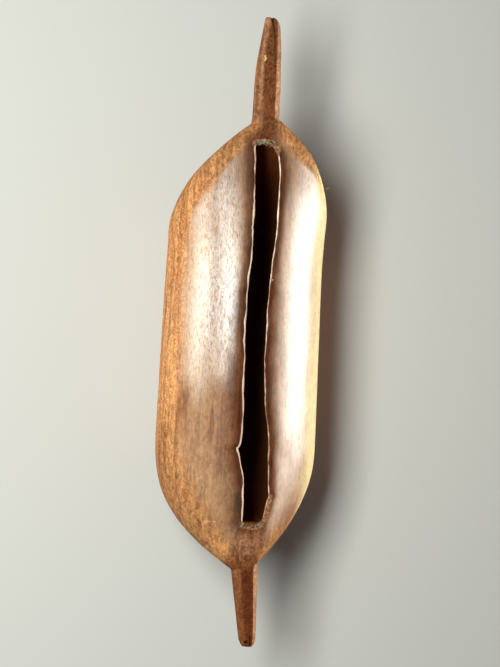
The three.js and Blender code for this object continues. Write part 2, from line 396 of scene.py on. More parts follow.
@dataclass(frozen=True)
class LipEdge:
    """One lip's edge, as a smooth curve through places along the drum and across it."""

    places: tuple[tuple[float, float], ...]
    reach: float
    band: float
    # How wide the painted shade beside the edge is, at places along the drum.
    shadow: tuple[tuple[float, float], ...]
    # How pale the arris is along the drum: worn wood brightened by a painted highlight.
    paleness: tuple[tuple[float, float], ...]
    drop: float
    drop_power: float
    arris: float
    arris_depth: float
    notches: tuple[tuple[float, float, float], ...] = ()
    ragged: tuple[float, float] = (0.0, 0.0)
    ragged_waves: float = 3.0
    ripples: tuple[tuple[float, float, float], ...] = (
        (61.0, 0.3, 0.4), (29.3, 0.16, 2.1), (17.1, 0.08, 4.4), (8.7, 0.04, 1.3),
    )

    def wander(self, y: Array) -> Array:
        """The knife's small wanders, the notches and the broken stretch.

        Args:
            y: Places along the drum.

        Returns:
            How far each moves the edge across the drum.
        """
        waves = sum(size * np.sin(y * 2 * math.pi / length + phase) for length, size, phase in self.ripples)
        chips = sum(size * np.maximum(0.0, 1.0 - np.abs(y - place) / length)
                    for place, length, size in self.notches)
        low, high = self.ragged
        broken = smooth(y, low - 4.0, low + 4.0) * (1.0 - smooth(y, high - 6.0, high + 2.0))
        return self.reach * (waves * (1.0 + self.ragged_waves * broken) + chips)

    def at(self, y: Array) -> Array:
        """How far across the drum the edge lies, with its small wanders."""
        return self.curve(y) + self.wander(y)

    def curve(self, y: Array) -> Array:
        """How far across the drum the edge's smooth course lies.

        Args:
            y: Places along the drum.

        Returns:
            The edge's place across it.
        """
        along, across = (np.array(values) for values in zip(*self.places))
        slopes = np.empty_like(across)
        slopes[1:-1] = (across[2:] - across[:-2]) / (along[2:] - along[:-2])
        slopes[0] = (across[1] - across[0]) / (along[1] - along[0])
        slopes[-1] = (across[-1] - across[-2]) / (along[-1] - along[-2])
        held = np.clip(y, along[-1], along[0])
        index = np.clip(np.searchsorted(-along, -held, side="right") - 1, 0, len(along) - 2)
        span = along[index + 1] - along[index]
        t = (held - along[index]) / span
        bends = (1 + 2 * t) * (1 - t) ** 2 * across[index] + t * t * (3 - 2 * t) * across[index + 1]
        leans = t * (1 - t) ** 2 * slopes[index] + t * t * (t - 1) * slopes[index + 1]
        return bends + leans * span


@dataclass(frozen=True)
class Slit:
    """The slit and the carved bands of its two lips."""

    left: LipEdge = LipEdge(
        places=(
            (238, -14.3), (200, -12.8), (112, -12.2), (64, -15.1), (32, -15.9), (-30, -14.8),
            (-108, -13.2), (-122, -14.6), (-126, -16.6), (-140, -14.3), (-162, -8.8), (-213, -7.6),
        ),
        reach=-1.0, band=11.0, drop=3.6, drop_power=1.5, arris=1.5, arris_depth=0.9,
        shadow=((0, 18.5), (-65, 33)), paleness=((190, 0.65), (160, 1)),
        notches=((139.3, 3.0, 0.8), (3.5, 2.5, 0.6), (-125.6, 5.0, 1.1)), ragged=(-214.0, -214.0),
    )
    right: LipEdge = LipEdge(
        places=(
            (238, 5), (233, 9.5), (222, 15.2), (180, 16.5), (128, 15.1), (80, 10.6), (52, 9.6),
            (-8, 8.6), (-62, 11), (-103, 17.4), (-128, 19.4), (-176, 21.8), (-190, 21.4),
            (-204, 18.8), (-213, 15),
        ),
        reach=1.0, band=8.0, drop=1.8, drop_power=1.5, arris=0.9, arris_depth=0.7,
        shadow=((190, 15), (150, 12), (100, 12.5), (60, 18.5), (-110, 19.5), (-140, 14)),
        paleness=((110, 0.75), (90, 0.56), (-150, 0.56), (-180, 0.8)),
        notches=((88.0, 3.0, 0.5),), ragged=(-213.0, -178.0),
    )
    spread: float = 0.22
    fade: float = 26.0
    edge_reach: float = 0.33
    band_reach: float = 0.56
    # How far out from the edge the painted shade stays full.
    shade_core: float = 4.0

    @property
    def head(self) -> float:
        """Where the slit's head end is."""
        return self.left.places[0][0]

    @property
    def foot(self) -> float:
        """Where the slit's foot end is."""
        return self.left.places[-1][0]

    def depth(self, y: Array) -> Array:
        """How far the bands are carved down: 1 along the slit, fading past its ends."""
        past = np.maximum(np.maximum(y - self.head, self.foot - y), 0.0)
        return 1.0 - np.clip(past / self.fade, 0.0, 1.0)

    def edge(self, lip: LipEdge, y: Array, half: Array) -> Array:
        """A lip's edge, kept within the body's width near the necks."""
        return lip.reach * np.minimum(lip.reach * lip.at(y), self.edge_reach * half)

    def band_edge(self, lip: LipEdge, y: Array, half: Array) -> Array:
        """The outer edge of a lip's carved band."""
        wide = lip.reach * self.edge(lip, y, half) + lip.band
        return lip.reach * np.minimum(wide, self.band_reach * half)


@dataclass(frozen=True)
class CavityEnd:
    """How one end of the cavity opens out, in millimetres."""

    end: float
    end_half: float
    end_floor: float
    swell_length: float
    deepen_length: float


@dataclass(frozen=True)
class Cavity:
    """The hollow inside the body, an ellipse at every place along it."""

    half: float = 80.0
    ceiling: float = 10.0
    floor: float = 152.0
    power: float = 2.2
    head: CavityEnd = CavityEnd(248.0, 13.0, 30.0, 110.0, 175.0)
    foot: CavityEnd = CavityEnd(-226.0, 18.0, 60.0, 78.0, 105.0)

    def sizes(self, y: Array, body: Body) -> tuple[Array, Array, Array]:
        """Half width, middle level and half height of the cavity.

        Args:
            y: Places along the drum.
            body: The body around it.

        Returns:
            The three sizes, an array each.
        """
        rows = []
        for end in (self.head, self.foot):
            out = np.abs(end.end - y)
            rows.append((
                lerp(end.end_half, self.half, swell(out, end.swell_length, self.power)),
                -lerp(end.end_floor, self.floor, swell(out, end.deepen_length, self.power)),
            ))
        is_head = y > (self.head.end + self.foot.end) / 2
        half, floor = (np.where(is_head, a, b) for a, b in zip(*rows))
        top = body.sizes(y).deck - self.ceiling
        return half, (top + floor) / 2, (top - floor) / 2


@dataclass(frozen=True)
class Weave:
    """How many faces the carving has along and around it."""

    side: int = 54
    right_band: int = 7
    gap: int = 10
    left_band: int = 9
    belly: int = 42
    head_end: int = 15
    along_slit: int = 236
    foot_end: int = 28
    grip_step: float = 2.4
    fine_tip: float = 18.0
    tip_step: float = 1.0
    tip_rings: int = 5
    neck_rings: int = 2
    cavity_round: int = 44
    cavity_end: int = 5

    @property
    def gap_start(self) -> int:
        """The column of the right lip's edge."""
        return self.side + self.right_band

    @property
    def gap_end(self) -> int:
        """The column of the left lip's edge."""
        return self.gap_start + self.gap

    @property
    def around(self) -> int:
        """How many points a ring has."""
        return 2 * self.side + self.right_band + self.gap + self.left_band + self.belly


@dataclass
class Shell:
    """Points, their marks and faces, gathered into one mesh."""

    points: list[Array] = field(default_factory=list)
    marks: dict[Mark, list[Array]] = field(default_factory=lambda: {mark: [] for mark in Mark})
    faces: list[tuple[int, ...]] = field(default_factory=list)
    count: int = 0

    def add(self, points: Array, **marks: Any) -> Array:
        """Adds a block of points.

        Args:
            points: The points, in any shape that ends in three.
            **marks: Values of the marks by name, each a number or an array over the points.

        Returns:
            The points' numbers, in the same shape.
        """
        shape = points.shape[:-1]
        size = int(np.prod(shape))
        self.points.append(points.reshape(-1, 3))
        for mark in Mark:
            value = marks.get(mark.value, 0.0)
            self.marks[mark].append(np.broadcast_to(value, shape).reshape(-1).astype(float))
        numbers = np.arange(self.count, self.count + size).reshape(shape)
        self.count += size
        return numbers

    def skin(self, grid: Array, closed: bool, flip: bool = False, skip: Any = None) -> None:
        """Faces over a grid of point numbers.

        Args:
            grid: Point numbers, row by row.
            closed: Whether each row joins up with itself.
            flip: Whether the faces turn the other way.
            skip: Rows and columns, as two ranges, that stay open.
        """
        rows, columns = grid.shape
        for i in range(rows - 1):
            for j in range(columns if closed else columns - 1):
                if skip and i in skip[0] and j in skip[1]:
                    continue
                k = (j + 1) % columns
                face = (int(grid[i, j]), int(grid[i, k]), int(grid[i + 1, k]), int(grid[i + 1, j]))
                self.faces.append(face[::-1] if flip else face)

    def cap(self, ring: Array, flip: bool, **marks: Any) -> None:
        """Closes a ring with a fan about its middle.

        Args:
            ring: Point numbers around the opening.
            flip: Whether the faces turn the other way.
            **marks: Marks of the middle point.
        """
        every = np.concatenate(self.points)
        middle = int(self.add(every[ring].mean(axis=0)[None, :], **marks)[0])
        for j in range(len(ring)):
            face = (int(ring[j]), int(ring[(j + 1) % len(ring)]), middle)
            self.faces.append(face[::-1] if flip else face)

    def to_mesh(self, name: str, offset: Vector) -> bpy.types.Mesh:
        """Makes the mesh, in metres, with its marks as attributes.

        Args:
            name: The mesh's name.
            offset: Where the carving's own origin lies in the frame.

        Returns:
            The mesh.
        """
        points = np.concatenate(self.points)
        used = np.unique(np.concatenate([np.array(face) for face in self.faces]))
        renumber = np.full(len(points), -1)
        renumber[used] = np.arange(len(used))
        faces = [tuple(int(renumber[k]) for k in face) for face in self.faces]
        mesh = bpy.data.meshes.new(name)
        mesh.from_pydata((points[used] * MM + np.array(offset)).tolist(), [], faces)
        for mark, values in self.marks.items():
            layer = mesh.attributes.new(mark.value, "FLOAT", "POINT")
            layer.data.foreach_set("value", np.concatenate(values)[used].astype(np.float32))
        tidy = bmesh.new()
        tidy.from_mesh(mesh)
        bmesh.ops.recalc_face_normals(tidy, faces=tidy.faces)
        if tidy.calc_volume(signed=True) < 0:
            bmesh.ops.reverse_faces(tidy, faces=tidy.faces)
        tidy.to_mesh(mesh)
        tidy.free()
        mesh.polygons.foreach_set("use_smooth", [True] * len(mesh.polygons))
        mesh.update()
        return mesh


@dataclass(frozen=True)
class Fade:
    """A change that comes in over a span of a pattern, a mark or a place in metres."""

    start: float
    end: float
    amount: float = 1.0


class Term:
    """A node's output that arithmetic can be done on, through Math nodes."""

    def __init__(self, sheet: "Sheet", socket: bpy.types.NodeSocket) -> None:
        """Holds an output socket of a tree."""
        self.sheet = sheet
        self.socket = socket

    def _math(self, operation: str, *values: Number) -> "Term":
        """One Math node on the values."""
        inputs = dict(enumerate(values))
        return self.sheet.node("ShaderNodeMath", {"operation": operation}, inputs)

    def __add__(self, other: Number) -> "Term":
        """Sum."""
        return self._math("ADD", self, other)

    __radd__ = __add__

    def __sub__(self, other: Number) -> "Term":
        """Difference."""
        return self._math("SUBTRACT", self, other)

    def __rsub__(self, other: Number) -> "Term":
        """Difference from a number."""
        return self._math("SUBTRACT", other, self)

    def __mul__(self, other: Number) -> "Term":
        """Product."""
        return self._math("MULTIPLY", self, other)

    __rmul__ = __mul__

    def __pow__(self, power: Number) -> "Term":
        """Power."""
        return self._math("POWER", self, power)

    def largest(self, other: Number) -> "Term":
        """The larger of the two."""
        return self._math("MAXIMUM", self, other)

    def smallest(self, other: Number) -> "Term":
        """The smaller of the two."""
        return self._math("MINIMUM", self, other)

    def ridge(self, sharpness: float) -> "Term":
        """Thin lines where a pattern passes its middle value."""
        return (1 - self._math("ABSOLUTE", (self - 0.5) * 5.0)).largest(0.0) ** sharpness

    def step(self, low: float, high: float) -> "Term":
        """Rises smoothly from 0 at low to 1 at high."""
        settings = {"interpolation_type": "SMOOTHSTEP"}
        return self.sheet.node("ShaderNodeMapRange", settings, {"Value": self, 1: low, 2: high})

    def fade(self, fade: Fade) -> "Term":
        """Rises smoothly to the fade's amount over its span."""
        risen = self.step(fade.start, fade.end)
        return risen if fade.amount == 1.0 else risen * fade.amount

    def wobble(self, size: float) -> "Term":
        """A pattern, centred on zero and scaled to a size."""
        return (self - 0.5) * size


class Sheet:
    """A node tree, filled through one method."""

    def __init__(self, tree: bpy.types.NodeTree) -> None:
        """Holds a tree."""
        self.tree = tree

    def node(self, kind: str, settings: dict[str, Any], inputs: dict[Any, Any], output: Any = 0) -> Term:
        """Adds a node.

        Args:
            kind: The node's type.
            settings: Its properties, set before its sockets.
            inputs: Values or terms for its input sockets, by name or number.
            output: The output wanted, by name or number.

        Returns:
            That output.
        """
        made = self.tree.nodes.new(kind)
        for name, value in settings.items():
            setattr(made, name, value)
        for key, value in inputs.items():
            socket = made.inputs[key]
            if isinstance(value, Term):
                self.tree.links.new(value.socket, socket)
            else:
                socket.default_value = value
        return Term(self, made.outputs[output])

    def scaled(self, vector: Any, factor: Number) -> Term:
        """A vector or colour times a number."""
        return self.node("ShaderNodeVectorMath", {"operation": "SCALE"}, {0: vector, "Scale": factor})

    def mix(self, share: Number, start: Any, end: Any) -> Term:
        """Mixes two colours.

        Args:
            share: How much of the second.
            start: The first colour or term.
            end: The second colour or term.

        Returns:
            The mixed colour.
        """
        settings = {"data_type": "RGBA", "clamp_factor": True}
        first = start if isinstance(start, Term) else (*start, 1.0)
        second = end if isinstance(end, Term) else (*end, 1.0)
        return self.node("ShaderNodeMix", settings, {0: share, 6: first, 7: second}, 2)

    def pattern(self, place: Term, scale: Sequence[float], kind: NoiseKind = NoiseKind.CLOUD,
                **inputs: Any) -> Term:
        """A pattern stretched along the axes.

        Args:
            place: Where it is read, in metres.
            scale: Marks to a metre along each axis.
            kind: Which texture it is.
            **inputs: The texture's own inputs by name.

        Returns:
            Its value, about 0 to 1.
        """
        stretched = self.node("ShaderNodeVectorMath", {"operation": "MULTIPLY"}, {0: place, 1: tuple(scale)})
        settings = {"noise_dimensions": "3D"} if kind is NoiseKind.CLOUD else {"feature": "F1"}
        return self.node(kind.value, settings, {"Vector": stretched, "Scale": 1.0, **inputs})


@dataclass(frozen=True)
class ToolMarks:
    """The maker's tool marks, as a geometry tree on the carving."""

    facet_depth: float = 0.0005
    ripple_depth: float = 0.0003
    chop_depth: float = 0.0016
    cell_mean: float = 0.3
    crumb_mean: float = 0.55
    fibre_count: float = 520000.0
    fibre_length: float = 0.0045
    fibre_width: float = 0.0003
    fibre_turn: tuple[tuple[float, ...], tuple[float, ...]] = ((-2.1, -0.6, -3.1), (-1.0, 0.6, 3.1))
    fibre_scale: tuple[float, float] = (0.3, 1.0)
    splinter: tuple[float, float, float] = (83.6, 192.0, -21.0)
    splinter_turn: tuple[float, float, float] = (-0.5, 1.25, 0.0)
    splinter_girth: float = 1.6
    splinter_stretch: float = 1.3
    seed: int = 7

    def inputs(self, material: bpy.types.Material, offset: Vector) -> dict[str, tuple[str, Any]]:
        """The tree's named inputs.

        Args:
            material: What the carving is dressed in.
            offset: Where the carving's own origin lies in the frame.

        Returns:
            The kind and the value of each.
        """
        return {
            "Facet depth": ("Float", self.facet_depth), "Ripple depth": ("Float", self.ripple_depth),
            "Chop depth": ("Float", self.chop_depth), "Fibre count": ("Float", self.fibre_count),
            "Fibre length": ("Float", self.fibre_length), "Fibre width": ("Float", self.fibre_width),
            "Splinter place": ("Vector", tuple(offset + Vector(self.splinter) * MM)),
            "Seed": ("Int", self.seed), "Material": ("Material", material),
        }

    def tree(self, inputs: dict[str, tuple[str, Any]]) -> bpy.types.GeometryNodeTree:
        """Builds the tree.

        Args:
            inputs: Its inputs besides the geometry.

        Returns:
            The tree.
        """
        tree = bpy.data.node_groups.new("tool_marks", "GeometryNodeTree")
        tree.interface.new_socket("Geometry", in_out="INPUT", socket_type="NodeSocketGeometry")
        for name, (kind, _) in inputs.items():
            tree.interface.new_socket(name, in_out="INPUT", socket_type=f"NodeSocket{kind}")
        tree.interface.new_socket("Geometry", in_out="OUTPUT", socket_type="NodeSocketGeometry")
        sheet = Sheet(tree)
        given = tree.nodes.new("NodeGroupInput").outputs
        asked = {socket.name: Term(sheet, socket) for socket in given if socket.name}
        moved = self._relief(sheet, asked)
        joined = tree.nodes.new("GeometryNodeJoinGeometry")
        for part in (moved, self._fibres(sheet, asked, moved), self._splinter(sheet, asked)):
            tree.links.new(part.socket, joined.inputs[0])
        real = sheet.node("GeometryNodeRealizeInstances", {}, {0: Term(sheet, joined.outputs[0])})
        rounded = sheet.node("GeometryNodeSetShadeSmooth", {}, {0: real})
        dressed = sheet.node("GeometryNodeSetMaterial", {}, {
            "Geometry": rounded, "Material": asked["Material"],
        })
        tree.links.new(dressed.socket, tree.nodes.new("NodeGroupOutput").inputs[0])
        return tree

    def _mark(self, sheet: Sheet, mark: Mark) -> Term:
        """Reads one of the carving's marks."""
        return sheet.node("GeometryNodeInputNamedAttribute", {"data_type": "FLOAT"}, {0: mark.value})

    def _relief(self, sheet: Sheet, asked: dict[str, Term]) -> Term:
        """Moves the surface by adze facets, knife facets, soft ripples and chopped end grain.

        Args:
            sheet: The tree.
            asked: The tree's inputs.

        Returns:
            The moved geometry.
        """
        place = sheet.node("GeometryNodeInputPosition", {}, {})
        normal = sheet.node("GeometryNodeInputNormal", {}, {})
        rim, grip, chop, inside, lip = (
            self._mark(sheet, mark) for mark in (Mark.RIM, Mark.GRIP, Mark.CHOP, Mark.INSIDE, Mark.LIP)
        )
        # Each scale is the pattern's marks to a metre across, along and up.
        adze = sheet.pattern(place, (62.0, 34.0, 62.0), NoiseKind.CELLS)
        knife = sheet.pattern(place, (150.0, 38.0, 150.0), NoiseKind.CELLS)
        ripple = sheet.pattern(place, (34.0, 22.0, 34.0), Detail=2.0)
        chisel = sheet.pattern(place, (80.0, 30.0, 80.0), NoiseKind.CELLS)
        crumb = sheet.pattern(place, (260.0, 200.0, 260.0), Detail=3.0)
        rough = rim.step(-0.1, 0.35) * (1 - grip)
        polished = (1 - rough) * (1 - grip) * (1 - inside) * (1 - lip)
        facet = asked["Facet depth"]
        # The flat spot underneath is left flat.
        off_ground = sheet.node("ShaderNodeSeparateXYZ", {}, {0: place}, 2).step(0.0004, 0.006)
        height = (
            (adze * adze - self.cell_mean) * rough * facet
            + (knife * knife - self.cell_mean) * grip * (1 - chop) * facet * 0.8
            + ripple.wobble(2.0) * polished * asked["Ripple depth"]
            + (chisel * chisel - self.cell_mean) * inside * facet * 2.0
            + (crumb - self.crumb_mean) * chop * asked["Chop depth"] * 2.0
        ) * off_ground
        return sheet.node("GeometryNodeSetPosition", {}, {
            "Geometry": asked["Geometry"], "Offset": sheet.scaled(normal, height),
        })

    def _sliver(self, sheet: Sheet, asked: dict[str, Term], sides: int, girth: float,
                stretch: float) -> Term:
        """A thin pointed fibre, marked as one.

        Args:
            sheet: The tree.
            asked: The tree's inputs.
            sides: How many sides it has.
            girth: Its thickness, in widths of a fibre.
            stretch: Its length, in lengths of a fibre.

        Returns:
            The fibre.
        """
        cone = sheet.node("GeometryNodeMeshCone", {"fill_type": "NGON"}, {
            "Vertices": sides, "Radius Top": asked["Fibre width"] * 0.3,
            "Radius Bottom": asked["Fibre width"] * girth, "Depth": asked["Fibre length"] * stretch,
        }, "Mesh")
        return sheet.node(
            "GeometryNodeStoreNamedAttribute", {"data_type": "FLOAT", "domain": "POINT"},
            {"Geometry": cone, "Name": Mark.FIBRE.value, "Value": 1.0},
        )

    def _splinter(self, sheet: Sheet, asked: dict[str, Term]) -> Term:
        """The one splinter that stands out of the right flank.

        Args:
            sheet: The tree.
            asked: The tree's inputs.

        Returns:
            The splinter.
        """
        sliver = self._sliver(sheet, asked, 5, self.splinter_girth, self.splinter_stretch)
        return sheet.node("GeometryNodeTransform", {}, {
            "Geometry": sliver, "Translation": asked["Splinter place"], "Rotation": self.splinter_turn,
        })

    def _fibres(self, sheet: Sheet, asked: dict[str, Term], surface: Term) -> Term:
        """Scatters torn fibres over the chopped end grain.

        Args:
            sheet: The tree.
            asked: The tree's inputs.
            surface: The carving.

        Returns:
            The fibres, as instances.
        """
        dense = self._mark(sheet, Mark.CHOP).step(0.6, 1.0) * asked["Fibre count"]
        scatter = sheet.node(
            "GeometryNodeDistributePointsOnFaces", {"distribute_method": "RANDOM"},
            {"Mesh": surface, "Density": dense, "Seed": asked["Seed"]}, "Points",
        )
        low, high = self.fibre_turn
        turn = sheet.node("FunctionNodeRandomValue", {"data_type": "FLOAT_VECTOR"}, {
            "Min": low, "Max": high, "Seed": asked["Seed"],
        })
        small, full = self.fibre_scale
        size = sheet.node("FunctionNodeRandomValue", {"data_type": "FLOAT"}, {
            2: small, 3: full, "Seed": asked["Seed"],
        }, 1)
        return sheet.node("GeometryNodeInstanceOnPoints", {}, {
            "Points": scatter, "Instance": self._sliver(sheet, asked, 4, 1.0, 1.0), "Rotation": turn,
            "Scale": size,
        })

    def apply(self, source: bpy.types.Object, name: str, material: bpy.types.Material,
              offset: Vector) -> bpy.types.Object:
        """Runs the tree on a carving and keeps the result as a plain mesh.

        Args:
            source: The carving, which is removed.
            name: The finished piece's name.
            material: What it is dressed in.
            offset: Where the carving's own origin lies in the frame.

        Returns:
            The finished piece.
        """
        inputs = self.inputs(material, offset)
        modifier = source.modifiers.new("tool_marks", "NODES")
        modifier.node_group = self.tree(inputs)
        for item in modifier.node_group.interface.items_tree:
            if item.in_out == "INPUT" and item.name in inputs:
                modifier[item.identifier] = inputs[item.name][1]
        depsgraph = bpy.context.evaluated_depsgraph_get()
        mesh = bpy.data.meshes.new_from_object(source.evaluated_get(depsgraph), depsgraph=depsgraph)
        mesh.name = name
        source.modifiers.clear()
        bpy.data.objects.remove(source)
        made = bpy.data.objects.new(name, mesh)
        bpy.context.scene.collection.objects.link(made)
        return made


class Wood:
    """The patterns, places and marks that the finish reads, each made once."""

    def __init__(self, sheet: Sheet) -> None:
        """Adds them to a tree. A pattern's scale is its marks to a metre across, along and up.

        Args:
            sheet: The material's tree.
        """
        place = sheet.node("ShaderNodeTexCoord", {}, {}, "Object")
        self.sheet = sheet
        self.marks = {
            mark: sheet.node("ShaderNodeAttribute", {"attribute_name": mark.value}, {}, "Fac")
            for mark in Mark
        }
        self.across, self.along, self.level = (
            sheet.node("ShaderNodeSeparateXYZ", {}, {0: place}, axis) for axis in range(3)
        )
        self.grain = sheet.pattern(place, (150.0, 9.0, 150.0), Detail=4.0, Distortion=0.4)
        self.speckle = sheet.pattern(place, (250.0, 120.0, 250.0), Detail=3.0, Roughness=0.65)
        self.dash = sheet.pattern(place, (540.0, 150.0, 540.0), Detail=2.0, Distortion=0.5)
        self.hair = sheet.pattern(place, (560.0, 130.0, 560.0), Detail=2.0, Distortion=1.0)
        self.patch = sheet.pattern(place, (85.0, 34.0, 85.0), Detail=2.0)
        self.broad = sheet.pattern(place, (22.0, 13.0, 22.0), Detail=3.0)
        self.crumb = sheet.pattern(place, (330.0, 300.0, 330.0), Detail=5.0, Roughness=0.65)
        self.curl = sheet.pattern(place, (105.0, 72.0, 105.0), Detail=1.0, Distortion=2.0).ridge(2.5)
        self.knot = sheet.pattern(place, (75.0, 110.0, 75.0), Detail=3.0, Distortion=2.4).ridge(3.0)


@dataclass(frozen=True)
class WoodFinish:
    """Old hand-rubbed hardwood: its own colours, with painted light and shade on the lips, the arris, the
    left deck, the right edge, the grips' right faces, the curled grain, toward the ends and in the hollow.
    """

    deck: Colour = srgb(113, 78, 54)
    deck_dark: Colour = srgb(93, 58, 38)
    deck_pale: Colour = srgb(126, 94, 68)
    # A painted sheen: a paler tone on the left deck.
    painted_sheen: Colour = srgb(140, 112, 92)
    flank: Colour = srgb(144, 99, 62)
    flank_dark: Colour = srgb(122, 77, 46)
    # The lip bands' own reddish brown, deepened by painted shade toward the slit.
    lip: Colour = srgb(68, 31, 10)
    lip_dark: Colour = srgb(44, 17, 4)
    # The arris's pale worn wood, brightened as a painted highlight along the slit's edges.
    arris: Colour = srgb(160, 138, 120)
    grip: Colour = srgb(109, 73, 50)
    grip_dark: Colour = srgb(87, 53, 33)
    short_grip: Colour = srgb(74, 36, 12)
    crack: Colour = srgb(22, 10, 4)
    grip_face: Colour = srgb(58, 22, 4)
    long_grip_face: Colour = srgb(64, 32, 11)
    # A painted highlight on the grips' right faces.
    grip_right_highlight: Colour = srgb(130, 90, 62)
    # A painted glare: pale yellow along the right flank's upper edge.
    right_glare: Colour = srgb(190, 168, 120)
    chopped: Colour = srgb(98, 84, 64)
    chopped_dark: Colour = srgb(36, 23, 13)
    fibre: Colour = srgb(126, 110, 88)
    # The hollow's wood, with painted shade: darker up its walls, toward its ends and on its right side.
    hollow: Colour = srgb(150, 92, 45)
    hollow_shade: Colour = srgb(150, 78, 38)
    stain: Colour = srgb(34, 27, 17)
    # Pale raw wood of nicks and scratches, and the painted highlight streaks on the left flank.
    scar_and_glint: Colour = srgb(156, 128, 94)
    chunk: Colour = srgb(112, 79, 52)
    chunk_dark: Colour = srgb(76, 47, 27)
    shine: float = 0.05
    polish_roughness: float = 0.38
    polish_ior: float = 1.85
    base_roughness: float = 0.46
    bump_strength: float = 0.4
    bump_height: float = 0.0006

    # How the patterns turn into streaks, specks and lines, and how strong the curls (pale grain, partly
    # painted glints of tool marks) and knots are on polished wood, with what unpolished wood and a dark face
    # add.
    streaks: Fade = Fade(0.36, 0.6)
    lip_streaks: Fade = Fade(0.4, 0.6)
    crumbs: Fade = Fade(0.4, 0.6)
    clouds: Fade = Fade(0.42, 0.66, 0.5)
    specks: Fade = Fade(0.3, 0.7)
    lines: Fade = Fade(0.5, 0.66)
    line_shade: float = 0.12
    curls_and_glints: tuple[float, float, float] = (0.12, 0.5, 0.25)
    knots: tuple[float, float, float] = (0.06, 0.3, 0.05)
    crackle_fine: Fade = Fade(0.44, 0.6, 0.42)
    crackle_dash: Fade = Fade(0.48, 0.64, 0.25)

    # How the marks on the carving come in.
    tan: Fade = Fade(-0.75, 0.3)
    unpolished: Fade = Fade(-0.4, 0.15)
    on_grip: Fade = Fade(0.2, 0.8)
    on_top_face: Fade = Fade(0.1, 0.9)
    on_right_face: Fade = Fade(0.25, 0.85)
    on_lip: Fade = Fade(0.0, 0.3)
    on_dark: Fade = Fade(0.1, 1.0, 0.75)
    on_pale: Fade = Fade(0.3, 0.9, 0.8)
    on_inside: Fade = Fade(0.2, 0.8)
    on_arris: Fade = Fade(0.4, 0.85)
    on_chop: Fade = Fade(0.25, 0.5)
    on_torn: Fade = Fade(0.6, 0.9)

    # Where painted light, painted shade and other tones change along the drum, across it and up it, in
    # metres.
    flank_shade_head: Fade = Fade(0.1, 0.21, 0.38)
    flank_shade_foot: Fade = Fade(-0.05, -0.2, 0.36)
    deck_shade_head: Fade = Fade(0.12, 0.2, 0.2)
    deck_light_foot: Fade = Fade(-0.06, -0.2, 0.14)
    painted_sheen_side: Fade = Fade(-0.055, -0.072)
    painted_sheen_foot: Fade = Fade(-0.1, -0.03)
    painted_sheen_head: Fade = Fade(0.1, 0.17)
    right_glare_side: Fade = Fade(0.055, 0.088, 0.9)
    right_glare_level: Fade = Fade(0.085, 0.135)
    right_half: Fade = Fade(-0.01, 0.02)
    head_half: Fade = Fade(-0.02, 0.02)
    foot_half: Fade = Fade(0.0, -0.1)
    foot_neck: Fade = Fade(-0.29, -0.24, 0.6)
    foot_grip: Fade = Fade(-0.28, -0.29, 0.75)
    grip_highlight_head: Fade = Fade(0.28, 0.36, 0.5)
    grip_highlight_foot: Fade = Fade(-0.3, -0.35, 0.25)
    hollow_level: Fade = Fade(0.03, 0.07)
    hollow_ends: Fade = Fade(0.3, 0.9)
    hollow_right: Fade = Fade(0.0, 0.035)
    hollow_top: Fade = Fade(0.14, 0.165)
    hollow_dimming: float = 0.72
    polish_foot: Fade = Fade(-0.085, 0.02)
    polish_left_head: Fade = Fade(0.06, 0.15, 0.42)
    polish_head: Fade = Fade(0.145, 0.19, 0.55)

    def material(self, name: str) -> bpy.types.Material:
        """Builds the wood.

        Args:
            name: The material's name.

        Returns:
            The material.
        """
        material = bpy.data.materials.new(name)
        material.use_nodes = True
        material.node_tree.nodes.clear()
        sheet = Sheet(material.node_tree)
        wood = Wood(sheet)
        marks = wood.marks
        rim = marks[Mark.RIM] + wood.grain.wobble(0.25) + wood.broad.wobble(0.5) + wood.speckle.wobble(0.2)
        rough = rim.fade(self.unpolished) * (1 - marks[Mark.GRIP])
        wild = rough.largest(marks[Mark.GRIP]).largest(marks[Mark.TOP_FACE])
        face = self._face(wood)
        colour = self._grips(wood, self._body(wood, rim), face)
        # The lip bands: their reddish brown with painted shade, fading out from the slit's edge.
        lip = sheet.mix(wood.grain.fade(self.lip_streaks), self.lip_dark, self.lip)
        frayed = (wood.grain.wobble(0.5) + wood.patch.wobble(0.5)) * marks[Mark.LIP].fade(self.on_lip)
        shadow = (marks[Mark.LIP] + frayed).largest(0.0).smallest(1.0)
        colour = sheet.scaled(sheet.mix(shadow, colour, lip), self._strokes(wood, wild, face))
        colour = self._cuts(wood, colour)
        dull = wild.largest(marks[Mark.CHOP]).largest(marks[Mark.INSIDE]).largest(shadow).smallest(1.0)
        height = (
            wood.speckle * 0.9 + wood.grain * 0.3 - wood.dash.fade(self.lines) * 0.5
            + (wood.curl - wood.knot) * (0.12 + wild * 0.4)
        )
        bump = sheet.node("ShaderNodeBump", {}, {
            "Strength": self.bump_strength, "Distance": self.bump_height, "Height": height,
        })
        shader = sheet.node("ShaderNodeBsdfPrincipled", {}, {
            "Base Color": colour, "Roughness": self.base_roughness + dull * 0.18 + wood.speckle * 0.08,
            "Normal": bump, "Coat Weight": self._polish(wood, dull),
            "Coat Roughness": self.polish_roughness, "Coat IOR": self.polish_ior,
            "Specular IOR Level": self.shine,
        })
        output = sheet.tree.nodes.new("ShaderNodeOutputMaterial")
        sheet.tree.links.new(shader.socket, output.inputs["Surface"])
        return material

    def _body(self, wood: Wood, rim: Term) -> Term:
        """The polished decks, the tanned flanks, a painted sheen on the left deck and a painted glare along
        the right edge.

        Args:
            wood: The patterns and places.
            rim: How far past the edge of the polish it is.

        Returns:
            The body's colour.
        """
        sheet, streaks = wood.sheet, wood.grain.fade(self.streaks)
        drift = wood.along + wood.broad.wobble(0.08)
        flank = sheet.mix(streaks, self.flank_dark, self.flank)
